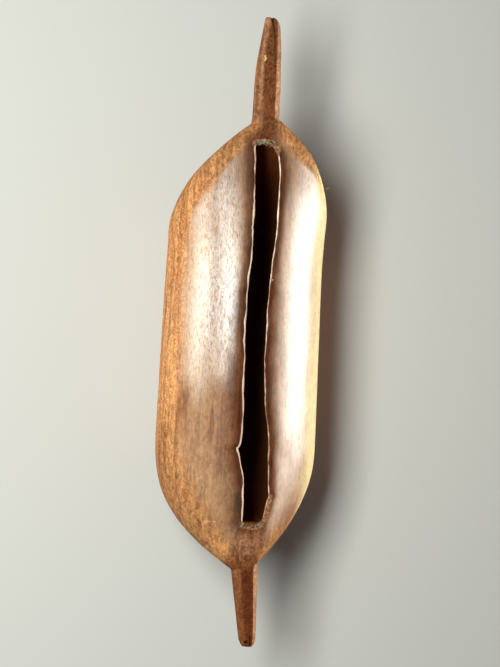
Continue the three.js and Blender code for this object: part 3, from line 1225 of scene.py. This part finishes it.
        # Painted shade: the flanks darken toward both ends.
        flank = sheet.scaled(flank, 1.1 - drift.fade(self.flank_shade_head) - drift.fade(self.flank_shade_foot))
        deck = sheet.mix(streaks, self.deck_dark, self.deck)
        deck = sheet.mix(wood.broad.fade(self.clouds), deck, self.deck_pale)
        # Painted shade toward the head and painted light toward the foot, on the deck.
        deck = sheet.scaled(deck, 1 - drift.fade(self.deck_shade_head) + drift.fade(self.deck_light_foot))
        # Painted sheen: a paler patch on the left deck, fading toward its head and foot.
        painted_sheen = (wood.across + wood.broad.wobble(0.03)).fade(self.painted_sheen_side)
        painted_sheen = painted_sheen * drift.fade(self.painted_sheen_foot) * (1 - drift.fade(self.painted_sheen_head))
        deck = sheet.mix(painted_sheen, deck, self.painted_sheen)
        # Painted glare: a pale yellow strip along the right flank's upper edge.
        edge = (wood.across + wood.broad.wobble(0.02)).fade(self.right_glare_side)
        edge = edge * (wood.level + wood.broad.wobble(0.05)).fade(self.right_glare_level)
        return sheet.mix(edge, sheet.mix(rim.fade(self.tan), deck, flank), self.right_glare)

    def _face(self, wood: Wood) -> Term:
        """A grip's dark top face, which fades on the foot's neck.

        Args:
            wood: The patterns and places.

        Returns:
            How much of it there is.
        """
        face = wood.marks[Mark.TOP_FACE] + wood.grain.wobble(0.6) + wood.speckle.wobble(0.9)
        on_neck = (wood.along + wood.broad.wobble(0.02)).fade(self.foot_neck)
        on_neck = on_neck * wood.along.fade(self.foot_half)
        return (face + wood.patch.wobble(1.2)).fade(self.on_top_face) * (1 - on_neck)

    def _grips(self, wood: Wood, body: Term, face: Term) -> Term:
        """The grips, with their dark top faces and a painted highlight on their right faces.

        Args:
            wood: The patterns and places.
            body: The body's colour.
            face: Where a dark top face is.

        Returns:
            The colour of both.
        """
        sheet, along = wood.sheet, wood.along
        grip = sheet.mix(wood.grain.fade(self.streaks), self.grip_dark, self.grip)
        grip = sheet.mix((along + wood.speckle.wobble(0.02)).fade(self.foot_grip), grip, self.short_grip)
        colour = sheet.mix(wood.marks[Mark.GRIP].fade(self.on_grip), body, grip)
        top = sheet.mix(along.fade(self.head_half), self.grip_face, self.long_grip_face)
        colour = sheet.mix(face * 0.92, colour, top)
        # Painted highlight on the grips' right faces, fading toward their tips.
        side = wood.marks[Mark.RIGHT_FACE] + wood.grain.wobble(0.6) + wood.patch.wobble(0.9)
        side = side.fade(self.on_right_face) * (1 - along.fade(self.grip_highlight_head) - along.fade(self.grip_highlight_foot))
        return sheet.mix(side, colour, self.grip_right_highlight)

    def _strokes(self, wood: Wood, wild: Term, face: Term) -> Term:
        """The curled grain with painted glints of tool marks, the specks and the fine lines, as a factor on
        the colour.

        Args:
            wood: The patterns and places.
            wild: Where the wood is unpolished.
            face: Where a dark top face is.

        Returns:
            What the colour is multiplied by.
        """
        curls_and_glints, knots = (
            pattern * (polished + wild * unpolished + face * dark)
            for pattern, (polished, unpolished, dark) in ((wood.curl, self.curls_and_glints), (wood.knot, self.knots))
        )
        lines = (wood.dash.fade(self.lines) + wood.hair.fade(self.lines)) * self.line_shade
        shade = 0.78 - wild * 0.02 + wood.speckle.fade(self.specks) * (0.4 + wild * 0.06)
        return (0.97 + curls_and_glints - knots) * (shade - lines * (1 - wild * 0.6))

    def _cuts(self, wood: Wood, colour: Term) -> Term:
        """The stains, scars, painted highlight streaks, the hollow with its painted shade, the arris with its
        painted highlight, chopped ends and fibres, over the colour so far.

        Args:
            wood: The patterns and places.
            colour: The colour so far.

        Returns:
            The finished colour.
        """
        sheet, marks = wood.sheet, wood.marks
        dark = (marks[Mark.DARK] + wood.grain.wobble(1.2)).fade(self.on_dark)
        colour = sheet.mix(dark, colour, sheet.mix(marks[Mark.GRIP], self.stain, self.crack))
        # Pale scars, and the painted highlight streaks on the left flank.
        pale = (marks[Mark.PALE] + wood.speckle.wobble(0.6)).fade(self.on_pale)
        colour = sheet.mix(pale, colour, self.scar_and_glint)
        # Painted shade in the hollow: darker toward its ends, up its walls and on its right side.
        ends = (wood.along * wood.along * 36).fade(self.hollow_ends)
        deep = wood.level.fade(self.hollow_level).largest(ends)
        dim = wood.across.fade(self.hollow_right).largest(wood.level.fade(self.hollow_top))
        hollow = sheet.mix(deep, self.hollow, self.hollow_shade)
        hollow = sheet.scaled(hollow, 1 - dim * self.hollow_dimming)
        colour = sheet.mix(marks[Mark.INSIDE].fade(self.on_inside), colour, hollow)
        # The arris: pale worn wood and a painted highlight along the slit's edges.
        arris = (marks[Mark.ARRIS] + wood.speckle.wobble(0.8)).fade(self.on_arris)
        colour = sheet.mix(arris, colour, self.arris)
        torn = marks[Mark.CHOP].fade(self.on_torn)
        chopped = sheet.mix(wood.crumb.fade(self.crumbs), sheet.mix(torn, self.chunk_dark, self.chopped_dark),
                            sheet.mix(torn, self.chunk, self.chopped))
        chop = (marks[Mark.CHOP] + wood.crumb.wobble(1.0)).fade(self.on_chop)
        return sheet.mix(marks[Mark.FIBRE], sheet.mix(chop, colour, chopped), self.fibre)

    def _polish(self, wood: Wood, dull: Term) -> Term:
        """The rubbed sheen, worn along the middle and crackled by fine lines.

        Args:
            wood: The patterns and places.
            dull: Where there is none.

        Returns:
            Its weight.
        """
        right = wood.across.fade(self.right_half)
        worn = wood.along * (1 - right * 0.6) + wood.broad.wobble(0.16) + right * 0.055
        left_head = (wood.along + wood.broad.wobble(0.05)).fade(self.polish_left_head) * (1 - right)
        head = (wood.along + wood.broad.wobble(0.06)).fade(self.polish_head)
        worn = worn.fade(self.polish_foot) * (1 - left_head) * (1 - head)
        fine = (wood.hair * 0.5 + wood.speckle * 0.5).fade(self.crackle_fine)
        crackle = (fine + wood.dash.fade(self.crackle_dash) + wood.curl * 0.2) * (1 - right * 0.5)
        return (1 - dull) * (0.05 + worn * 0.95) * (1 - crackle)


@dataclass(frozen=True)
class Carving:
    """The whole drum, gathered from its sub-assemblies."""

    body: Body = Body()
    slit: Slit = Slit()
    cavity: Cavity = Cavity()
    weave: Weave = Weave()
    wear: Wear = Wear()
    head_grip: Grip = Grip(
        side=1, length=126.0, base_half=15.8, taper_start=36.0, taper_by=7.6, taper_power=1.8,
        sway_start=66.0, sway_from=-0.6, sway_by=2.0, top_drop=5.0, bottom_rise=8.0,
        tip_length=2.6, tip_share=0.92, slant_from=0.8, slant=0.72, notch=1.1, notch_at=-0.8,
    )
    foot_grip: Grip = Grip(
        side=-1, length=97.0, base_half=15.9, taper_start=0.0, taper_by=6.6, taper_power=1.1,
        sway_start=0.0, sway_from=0.0, sway_by=8.2, top_drop=4.0, bottom_rise=7.0,
        tip_length=8.0, tip_share=0.62, slant_from=60.0, slant=0.0,
    )
    fillet: float = 5.0
    rim_scale: float = 20.0
    chop_reach: float = 9.0
    shoulder: tuple[float, float, float] = (139.0, 17.0, 2.3)
    scallop: tuple[float, float, float, float] = (4.6, 1.0, 1.2, 9.0)
    scallop_waves: tuple[tuple[float, float, float], ...] = ((0.7, 19.0, 0.0), (0.5, 41.0, 1.0))
    wedge: tuple[Span, Span, Span] = ((224.0, 228.0), (14.5, 17.5), (3.0, 5.0))
    broken: tuple[Span, Span] = ((3.5, 9.0), (3.0, 6.0))
    top_face: Span = (0.72, 0.22)
    right_face: tuple[Span, Span] = ((0.38, 0.62), (0.2, 0.5))
    worn_side: Span = (0.06, 0.2)
    wall_steps: tuple[float, ...] = (0.06, 0.3, 0.55, 0.8)
    corner_roughness: float = 0.55
    neck_spread: tuple[float, float] = (0.06, 0.24)
    arris_share: float = 0.3
    arris_waves: tuple[tuple[float, float, float], ...] = ((0.35, 11.0, 0.0), (0.25, 4.1, 1.0))

    def body_rows(self) -> tuple[Array, int, int]:
        """Places of the body's rings along the drum.

        Returns:
            The places, and the rings at which the slit starts and ends.
        """
        weave = self.weave
        stops = (self.body.neck_y, self.slit.head, self.slit.foot, -self.body.neck_y)
        steps = (weave.head_end, weave.along_slit, weave.foot_end)
        parts = [np.linspace(a, b, n, endpoint=False) for a, b, n in zip(stops, stops[1:], steps)]
        return np.append(np.concatenate(parts), stops[-1]), steps[0], steps[0] + steps[1]

    def body_rings(self, y: Array) -> tuple[Array, dict[str, Array]]:
        """Cross sections of the body.

        Args:
            y: Places along the drum.

        Returns:
            Points ring by ring, and their marks.
        """
        slit, body = self.slit, self.body
        lips = (slit.right, slit.left)
        size = body.sizes(y)
        half = size.half[:, None]
        edges = [slit.edge(lip, y, size.half)[:, None] for lip in lips]
        bands = [slit.band_edge(lip, y, size.half)[:, None] for lip in lips]
        worn = 1.0 + sum(share * np.sin(y / length + start) for share, length, start in self.arris_waves)
        reach = [
            np.minimum(lip.arris * worn[:, None], self.arris_share * np.abs(band - edge))
            for lip, band, edge in zip(lips, bands, edges)
        ]
        shoulders = [edges[0] + reach[0], edges[1] - reach[1]]
        power = 2.0 / body.fullness
        angle = self._angles(half, bands, shoulders)
        above = np.sin(angle) > 0
        x = half * signed_power(np.cos(angle), power)
        high = np.where(above, (size.deck - size.widest)[:, None], (size.widest - size.keel)[:, None])
        z = size.widest[:, None] + high * signed_power(np.sin(angle), power)
        lip_shade_mark = np.zeros_like(x)
        middle = (edges[0] + edges[1]) / 2
        depth = slit.depth(y)[:, None]
        for lip, band, edge in zip(lips, bands, edges):
            near = above & (np.sign(x - middle) == lip.reach)
            share = np.where(near, np.clip((band - x) / (band - edge), 0.0, 1.0), 0.0)
            z -= lip.drop * depth * share ** lip.drop_power
            # Painted shade on the lip band: full near the edge, fading out over the shadow's width.
            shadow = along(lip.shadow, y)[:, None]
            dark = np.clip((shadow - lip.reach * (x - edge)) / (shadow - slit.shade_core), 0.0, 1.0)
            lip_shade_mark = np.maximum(lip_shade_mark, np.where(near, dark, 0.0) * depth)
        z = np.maximum(z, -body.flat_spot_depth)
        place, spread, size_out = self.shoulder
        bulge = size_out * np.exp(-((y - place) / spread) ** 2)[:, None] * smooth(-x / half, 0.6, 1.0)
        points = np.stack([x - bulge, y[:, None] + size.skew[:, None] * x / half, z], axis=-1)
        narrow = (body.mid_rim_inset - body.right_rim_inset) * smooth(x / half, 0.0, 0.5)
        middling = smooth(half, 0.6 * body.half_width, 0.95 * body.half_width)
        inset = size.rim_inset[:, None] - narrow * middling
        below = (inset + size.widest[:, None] - z) / self.rim_scale
        rim = np.where(above, (np.abs(x) - (half - inset)) / self.rim_scale, below)
        marks = {"rim": rim, "lip": lip_shade_mark, **self._slit_marks(x, y, edges[0], shoulders, above)}
        points[..., 1] += self._scallop(x, y[:, None], edges)
        return points, {**marks, **self.wear.apply(points, smooth(np.sin(angle), *self.worn_side))}

    def _angles(self, half: Array, bands: list[Array], shoulders: list[Array]) -> Array:
        """Where a ring's points lie around it, closer together on the lips.

        Args:
            half: The body's half width.
            bands: The outer edges of the right and left bands.
            shoulders: The right and left places where the arris begins.

        Returns:
            The angles, ring by ring.
        """
        weave = self.weave

        def angle_at(x: Array) -> Array:
            """Angle on the upper half at which the outline reaches x."""
            return np.arccos((np.abs(x) / half) ** (self.body.fullness / 2.0))

        def steps(count: int) -> Array:
            """Even shares from 0 to 1, as a row."""
            return (np.arange(count) / count)[None, :]

        right = angle_at(bands[0]) * steps(weave.side)
        left = math.pi - angle_at(bands[1]) * (1.0 - steps(weave.side))
        across = np.concatenate([
            lerp(bands[0], shoulders[0], steps(weave.right_band)),
            lerp(shoulders[0], shoulders[1], steps(weave.gap)),
            lerp(shoulders[1], bands[1], steps(weave.left_band)),
        ], axis=1)
        top = math.pi / 2 - np.sign(across) * (math.pi / 2 - angle_at(across))
        under = np.broadcast_to(math.pi + math.pi * steps(weave.belly), (len(half), weave.belly))
        return np.concatenate([right, top, left, under], axis=1)

    def _slit_marks(self, x: Array, y: Array, edge: Array, shoulders: list[Array],
                    above: Array) -> dict[str, Array]:
        """The marks of the slit's chopped ends, of the necks' dark faces and of its pale arris, which is worn
        wood with a painted highlight.

        Args:
            x: Places across the drum.
            y: Places along it.
            edge: The right lip's edge.
            shoulders: The right and left places where the arris begins.
            above: Where the surface is on the upper half.

        Returns:
            The marks by name.
        """
        slit, weave = self.slit, self.weave
        past = np.maximum(y - slit.head, slit.foot - y)[:, None]
        within = smooth(-np.maximum(x - shoulders[0], shoulders[1] - x), -5.0, 0.0)
        ends = within * smooth(past, -1.0, 0.0) * (1.0 - smooth(past, self.chop_reach * 0.3, self.chop_reach))
        corner = self._corner(x, y[:, None], edge)
        beyond = np.maximum(slit.foot - y[:, None], 0.0)
        right_reach, left_reach = (reach * beyond for reach in self.neck_spread)
        beside = np.maximum(x - shoulders[0] - right_reach, shoulders[1] - x - left_reach)
        face = smooth(past, 1.0, self.chop_reach) * (1.0 - smooth(beside, -6.0, 14.0))
        arris = np.zeros_like(x)
        on_slit = past[:, 0] <= 0
        for lip, column in ((slit.right, weave.gap_start), (slit.left, weave.gap_end)):
            arris[on_slit, column] = along(lip.paleness, y[on_slit])
        return {
            "chop": np.where(above, np.maximum(ends, corner), 0.0), "top_face": face * above,
            "arris": arris * (1.0 - corner / self.corner_roughness),
        }

    def _corner(self, x: Array, y: Array, edge: Array) -> Array:
        """Where the right lip is left rough: the wedge at its head end and the broken foot end.

        Args:
            x: Places across the drum.
            y: Places along it.
            edge: The right lip's edge.

        Returns:
            How rough it is, 0 to 1.
        """
        wedge_start, wedge_right, wedge_left = self.wedge
        wedge = smooth(y, *wedge_start) * (1.0 - smooth(x, *wedge_right)) * smooth(x, *wedge_left)
        wedge = wedge * (1.0 - smooth(y, self.slit.head, self.slit.head + 4.0))
        low, high = self.slit.right.ragged
        broken = smooth(y, low - 4.0, low) * (1.0 - smooth(y, high - 5.0, high + 3.0))
        beside_edge, off_middle = self.broken
        broken = broken * (1.0 - smooth(x - edge, *beside_edge)) * smooth(x, *off_middle)
        return self.corner_roughness * np.maximum(wedge, broken)

    def _scallop(self, x: Array, y: Array, edges: list[Array]) -> Array:
        """How far the slit's chopped ends bite into the wood along the drum.

        Args:
            x: Places across the drum.
            y: Places along it.
            edges: The right and left edges of the slit.

        Returns:
            The shift along the drum.
        """
        foot_depth, head_depth, head_ragged, spread = self.scallop
        across = np.clip((x - edges[1]) / (edges[0] - edges[1]), 0.0, 1.0)
        arch = np.sin(math.pi * across)
        ragged = sum(size * np.sin(across * waves + start) for size, waves, start in self.scallop_waves)
        foot = -(foot_depth * arch ** 0.8 + ragged * arch) * np.exp(-((y - self.slit.foot) / spread) ** 2)
        head = (head_ragged * ragged + head_depth) * arch * np.exp(-((y - self.slit.head) / spread) ** 2)
        return (foot + head) * smooth(arch, 0.0, 0.2)

    def grip_angles(self) -> Array:
        """Where a grip's points lie around it, to match the body's columns.

        Returns:
            The angles, with the lips' columns on the top face.
        """
        weave = self.weave
        face_edge = math.pi / 2 - math.pi / self.head_grip.faces
        on_top = weave.right_band + weave.gap + weave.left_band
        return np.concatenate([
            face_edge * np.arange(weave.side) / weave.side,
            face_edge + (math.pi - 2 * face_edge) * np.arange(on_top) / on_top,
            math.pi - face_edge * (1.0 - np.arange(weave.side) / weave.side),
            math.pi + math.pi * np.arange(weave.belly) / weave.belly,
        ])

    def grip_rings(self, grip: Grip) -> tuple[Array, dict[str, Array]]:
        """Rings of a grip from its neck out to the middle of its tip.

        Args:
            grip: The grip.

        Returns:
            Its points and the marks of its top and right faces.
        """
        fine = grip.length - self.weave.fine_tip
        count = int((fine - self.fillet) / self.weave.grip_step)
        shaft = np.linspace(self.fillet, fine, count, endpoint=False)
        tip = np.arange(fine, grip.length + 1e-6, self.weave.tip_step)
        closing = 1.0 - np.arange(1, self.weave.tip_rings) / self.weave.tip_rings
        out = np.concatenate([shaft, tip, np.full(len(closing), grip.length)])
        shrink = np.concatenate([np.ones(len(shaft) + len(tip)), closing])
        angles = self.grip_angles()
        points = grip.rings(out, shrink, angles, self.body)
        face = smooth(np.sin(angles), *(math.cos(turn) for turn in self.top_face))
        to_right, to_top = self.right_face
        right = smooth(np.cos(angles), *to_right) * smooth(np.sin(angles), *to_top)
        marks = {"top_face": face, "right_face": right}
        return points, {name: np.broadcast_to(mark, points.shape[:-1]) for name, mark in marks.items()}

    def build(self, offset: Vector) -> bpy.types.Object:
        """Makes the carving, before its tool marks.

        Args:
            offset: Where the carving's own origin lies in the frame.

        Returns:
            The object.
        """
        shell = Shell()
        rows, slit_start, slit_end = self.body_rows()
        body_points, body_marks = self.body_rings(rows)
        grids = []
        for grip, end_ring in ((self.head_grip, body_points[0]), (self.foot_grip, body_points[-1])):
            points, face_marks = self.grip_rings(grip)
            faces_up = np.broadcast_to(np.sin(self.grip_angles()) > 0.3, points.shape[:-1])
            worn = self.wear.apply(points, faces_up.astype(float))
            shares = (np.arange(1, self.weave.neck_rings + 1) / (self.weave.neck_rings + 1))[:, None, None]
            neck = lerp(end_ring, points[0], shares)
            fade = np.broadcast_to(shares[..., 0], neck.shape[:-1])
            grids.append([
                shell.add(neck, grip=fade, rim=0.5, **{name: mark[0] for name, mark in face_marks.items()}),
                shell.add(points, grip=1.0, rim=0.5, **face_marks, **worn),
            ])
        body_grid = shell.add(body_points, **body_marks)
        head = np.concatenate([grids[0][1][::-1], grids[0][0][::-1]])
        foot = np.concatenate(grids[1])
        grid = np.concatenate([head, body_grid, foot])
        first = len(head)
        hole = (range(first + slit_start, first + slit_end),
                range(self.weave.gap_start, self.weave.gap_end))
        shell.skin(grid, closed=True, skip=hole)
        shell.cap(grid[0], flip=True, grip=1.0)
        shell.cap(grid[-1], flip=False, grip=1.0)
        self._hollow(shell, rows, body_grid, slit_start, slit_end)
        piece = bpy.data.objects.new("carving", shell.to_mesh("carving", offset))
        bpy.context.scene.collection.objects.link(piece)
        return piece

    def _hollow(self, shell: Shell, rows: Array, body_grid: Array, start: int, end: int) -> None:
        """Adds the cavity and the walls of the slit.

        Args:
            shell: The mesh so far.
            rows: Places of the body's rings.
            body_grid: Their point numbers.
            start: The ring at which the slit starts.
            end: The ring at which it ends.
        """
        weave, slit, cavity = self.weave, self.slit, self.cavity
        head = np.linspace(cavity.head.end, slit.head, weave.cavity_end, endpoint=False)
        foot = np.linspace(slit.foot, cavity.foot.end, weave.cavity_end + 1)[1:]
        y = np.concatenate([head, rows[start:end + 1], foot])
        half, middle, high = (value[:, None] for value in cavity.sizes(y, self.body))
        widen = slit.spread * cavity.ceiling
        edges = []
        for lip in (slit.right, slit.left):
            reach = np.minimum(lip.reach * lip.at(y) + widen, 0.5 * half[:, 0])
            edges.append((lip.reach * reach)[:, None])
        right, left = (np.arccos(edge / half) for edge in edges)
        gap = lerp(right, left, (np.arange(weave.gap) / weave.gap)[None, :])
        round_shares = (np.arange(weave.cavity_round) / weave.cavity_round)[None, :]
        rest = lerp(left, right + 2 * math.pi, round_shares)
        angle = np.concatenate([gap, rest], axis=1)
        points = np.stack([
            half * np.cos(angle), np.broadcast_to(y[:, None], angle.shape), middle + high * np.sin(angle),
        ], axis=-1)
        grid = shell.add(points, inside=1.0)
        first, last = len(head), len(head) + end - start
        shell.skin(grid, closed=True, flip=True, skip=(range(first, last), range(weave.gap)))
        shell.cap(grid[0], flip=False, inside=1.0)
        shell.cap(grid[-1], flip=True, inside=1.0)
        top = self._loop(body_grid, start, end, weave.gap_start, weave.gap_end)
        low = self._loop(grid, first, last, 0, weave.gap)
        every = np.concatenate(shell.points)
        upper, lower = every[top], every[low]
        brink = self._brink(upper, rows[start:end + 1])
        rough = self._corner(brink[:, 0], brink[:, 1], slit.edge(slit.right, brink[:, 1], np.inf))
        at_end = np.abs(brink[:, 1] - np.clip(brink[:, 1], slit.foot + 0.5, slit.head - 0.5)) > 0
        middle_line = (slit.right.curve(brink[:, 1]) + slit.left.curve(brink[:, 1])) / 2
        # The brink's arris: pale worn wood with a painted highlight.
        pale = np.where(brink[:, 0] > middle_line, *(along(lip.paleness, brink[:, 1])
                                                     for lip in (slit.right, slit.left)))
        edge = pale * (1.0 - rough / self.corner_roughness) * (1.0 - at_end)
        rings = [top, shell.add(brink, arris=edge, chop=np.maximum(rough, at_end))]
        for share in self.wall_steps:
            rings.append(shell.add(lerp(brink, lower, share), inside=1.0))
        rings.append(low)
        shell.skin(np.stack(rings), closed=True)

    def _loop(self, grid: Array, start: int, end: int, right: int, left: int) -> Array:
        """Point numbers around the slit's opening in a grid, down its right side first.

        Args:
            grid: The grid.
            start: The opening's first row.
            end: Its last row.
            right: The column of its right side.
            left: The column of its left side.

        Returns:
            The point numbers in order.
        """
        return np.concatenate([
            grid[start:end, right], grid[end, right:left], grid[end:start:-1, left],
            grid[start, left:right:-1],
        ])

    def _brink(self, upper: Array, y: Array) -> Array:
        """The worn brink of the slit: the loop of its edge, moved in and down by the arris.

        Args:
            upper: Points of the loop where the arris begins.
            y: Places of the slit's rings.

        Returns:
            Points of the edge itself.
        """
        slit, weave = self.slit, self.weave
        count, gap = len(y) - 1, weave.gap
        moved = upper.copy()
        moved[:count + 1, 0] = self._edge_at(slit.right, y)
        moved[:count + 1, 2] -= slit.right.arris_depth
        left = slice(count + gap, 2 * count + gap + 1)
        moved[left, 0] = self._edge_at(slit.left, y[::-1])
        moved[left, 2] -= slit.left.arris_depth
        across_foot = slice(count + 1, count + gap)
        across_head = slice(2 * count + gap + 1, 2 * count + 2 * gap)
        for part in (across_foot, across_head):
            moved[part, 2] -= slit.right.arris_depth
        return moved

    def _edge_at(self, lip: LipEdge, y: Array) -> Array:
        """A lip's edge at places along the drum, within the body's width there."""
        return self.slit.edge(lip, y, self.body.sizes(y).half)


@dataclass(frozen=True)
class SoftBox:
    """A soft light: where it stands from the drum, its width and height, power and colour."""

    name: str
    stand: tuple[float, float, float]
    size: tuple[float, float]
    watts: float
    colour: Colour
    drum_only: bool = True


@dataclass(frozen=True)
class Studio:
    """The pale floor, the soft lights and the camera that looks down on the drum."""

    tilt: float = math.radians(14.0)
    lean: float = math.radians(2.86)
    distance: float = 3.0
    metres_per_pixel: float = 0.0012
    image: tuple[int, int] = (500, 667)
    target_pixel: tuple[float, float] = (255.4, 344.0)
    sensor: float = 36.0
    far_clip: float = 200.0
    floor_size: float = 60.0
    floor_colour: Colour = srgb(184, 177, 173)
    floor_roughness: float = 0.9
    sky_colour: Colour = srgb(236, 237, 238)
    sky_above: float = 0.1
    sky_level: float = 0.6
    sky_fade: tuple[float, float] = (0.02, 0.4)
    boxes: tuple[SoftBox, ...] = (
        SoftBox("soft_left", (-1.0, 0.2, 1.68), (1.15, 0.6), 74.0, (0.9, 1.0, 0.95), drum_only=False),
        SoftBox("side_left", (-1.9, 0.3, 0.66), (0.9, 1.1), 62.0, (0.96, 1.0, 0.9)),
        SoftBox("tall_right", (1.5, 0.1, 0.42), (0.8, 1.2), 64.0, (1.0, 0.99, 0.88)),
    )

    def camera(self, target: Vector) -> None:
        """Places the camera.

        Args:
            target: The middle of the grips' axis.
        """
        towards = Vector((-math.sin(self.tilt), 0.0, math.cos(self.tilt)))
        across = Vector((math.cos(self.tilt), 0.0, math.sin(self.tilt)))
        along = Vector((0.0, 1.0, 0.0))
        right = math.cos(self.lean) * across + math.sin(self.lean) * along
        up = -math.sin(self.lean) * across + math.cos(self.lean) * along
        off_x = self.target_pixel[0] - self.image[0] / 2
        off_y = self.image[1] / 2 - self.target_pixel[1]
        place = target + towards * self.distance
        place -= (right * off_x + up * off_y) * self.metres_per_pixel
        data = bpy.data.cameras.new("camera")
        data.sensor_width = self.sensor
        data.lens = self.sensor * self.distance / self.metres_per_pixel / max(self.image)
        data.clip_end = self.far_clip
        made = bpy.data.objects.new("camera", data)
        made.matrix_world = Matrix.Translation(place) @ Matrix((right, up, towards)).transposed().to_4x4()
        bpy.context.scene.collection.objects.link(made)
        bpy.context.scene.camera = made

    def light(self, box: SoftBox, target: Vector, drum: bpy.types.Collection) -> None:
        """Adds a soft box.

        Args:
            box: The light.
            target: What it points at.
            drum: The drum alone, for a light that is kept off the floor.
        """
        data = bpy.data.lights.new(box.name, "AREA")
        data.shape = "RECTANGLE"
        data.size, data.size_y = box.size
        data.energy = box.watts
        data.color = box.colour
        made = bpy.data.objects.new(box.name, data)
        made.visible_camera = False
        stand = Vector(box.stand)
        turn = (-stand).to_track_quat("-Z", "Y").to_matrix().to_4x4()
        made.matrix_world = Matrix.Translation(target + stand) @ turn
        bpy.context.scene.collection.objects.link(made)
        if box.drum_only:
            made.light_linking.receiver_collection = drum

    def floor(self) -> None:
        """Lays the floor, a plain pale sheet."""
        half = self.floor_size / 2
        corners = [(-half, -half, 0), (half, -half, 0), (half, half, 0), (-half, half, 0)]
        mesh = bpy.data.meshes.new("floor")
        mesh.from_pydata(corners, [], [(0, 1, 2, 3)])
        made = bpy.data.objects.new("floor", mesh)
        bpy.context.scene.collection.objects.link(made)
        material = bpy.data.materials.new("floor")
        material.use_nodes = True
        shader = material.node_tree.nodes["Principled BSDF"]
        shader.inputs["Base Color"].default_value = (*self.floor_colour, 1.0)
        shader.inputs["Roughness"].default_value = self.floor_roughness
        mesh.materials.append(material)

    def world(self) -> None:
        """Fills the studio with even light, stronger from the pale walls around."""
        world = bpy.data.worlds.new("studio")
        world.use_nodes = True
        sheet = Sheet(world.node_tree)
        towards = sheet.node("ShaderNodeTexCoord", {}, {}, "Object")
        height = sheet.node("ShaderNodeSeparateXYZ", {}, {0: towards}, 2)
        walls = (1 - height.step(*self.sky_fade)) * (self.sky_level - self.sky_above)
        background = world.node_tree.nodes["Background"]
        background.inputs["Color"].default_value = (*self.sky_colour, 1.0)
        world.node_tree.links.new((self.sky_above + walls).socket, background.inputs["Strength"])
        bpy.context.scene.world = world

    def build(self, target: Vector, piece: bpy.types.Object) -> None:
        """Sets up the floor, the lights and the camera.

        Args:
            target: The middle of the grips' axis.
            piece: The drum.
        """
        self.floor()
        self.world()
        drum = bpy.data.collections.new("drum_only")
        drum.objects.link(piece)
        for box in self.boxes:
            self.light(box, target, drum)
        self.camera(target)
        bpy.context.scene.view_settings.view_transform = "Standard"


def main() -> None:
    """Builds the drum and the studio."""
    logging.basicConfig(level=logging.INFO)
    carving = Carving()
    low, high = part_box(NODE)
    body = carving.body
    ends = body.neck_y + carving.head_grip.length, -body.neck_y - carving.foot_grip.length
    offset = Vector(((low[0] + high[0]) / 2, (low[1] + high[1]) / 2 - sum(ends) / 2 * MM,
                     low[2] + body.flat_spot_depth * MM))
    material = WoodFinish().material("drum_wood")
    piece = ToolMarks().apply(carving.build(offset), "carved_drum", material, offset)
    log.info("%s: %d faces", piece.name, len(piece.data.polygons))
    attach(piece, "root")
    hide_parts(NODE)
    Studio().build(offset.copy(), piece)
    log.info("studio ready")


if __name__ == "__main__":
    main()
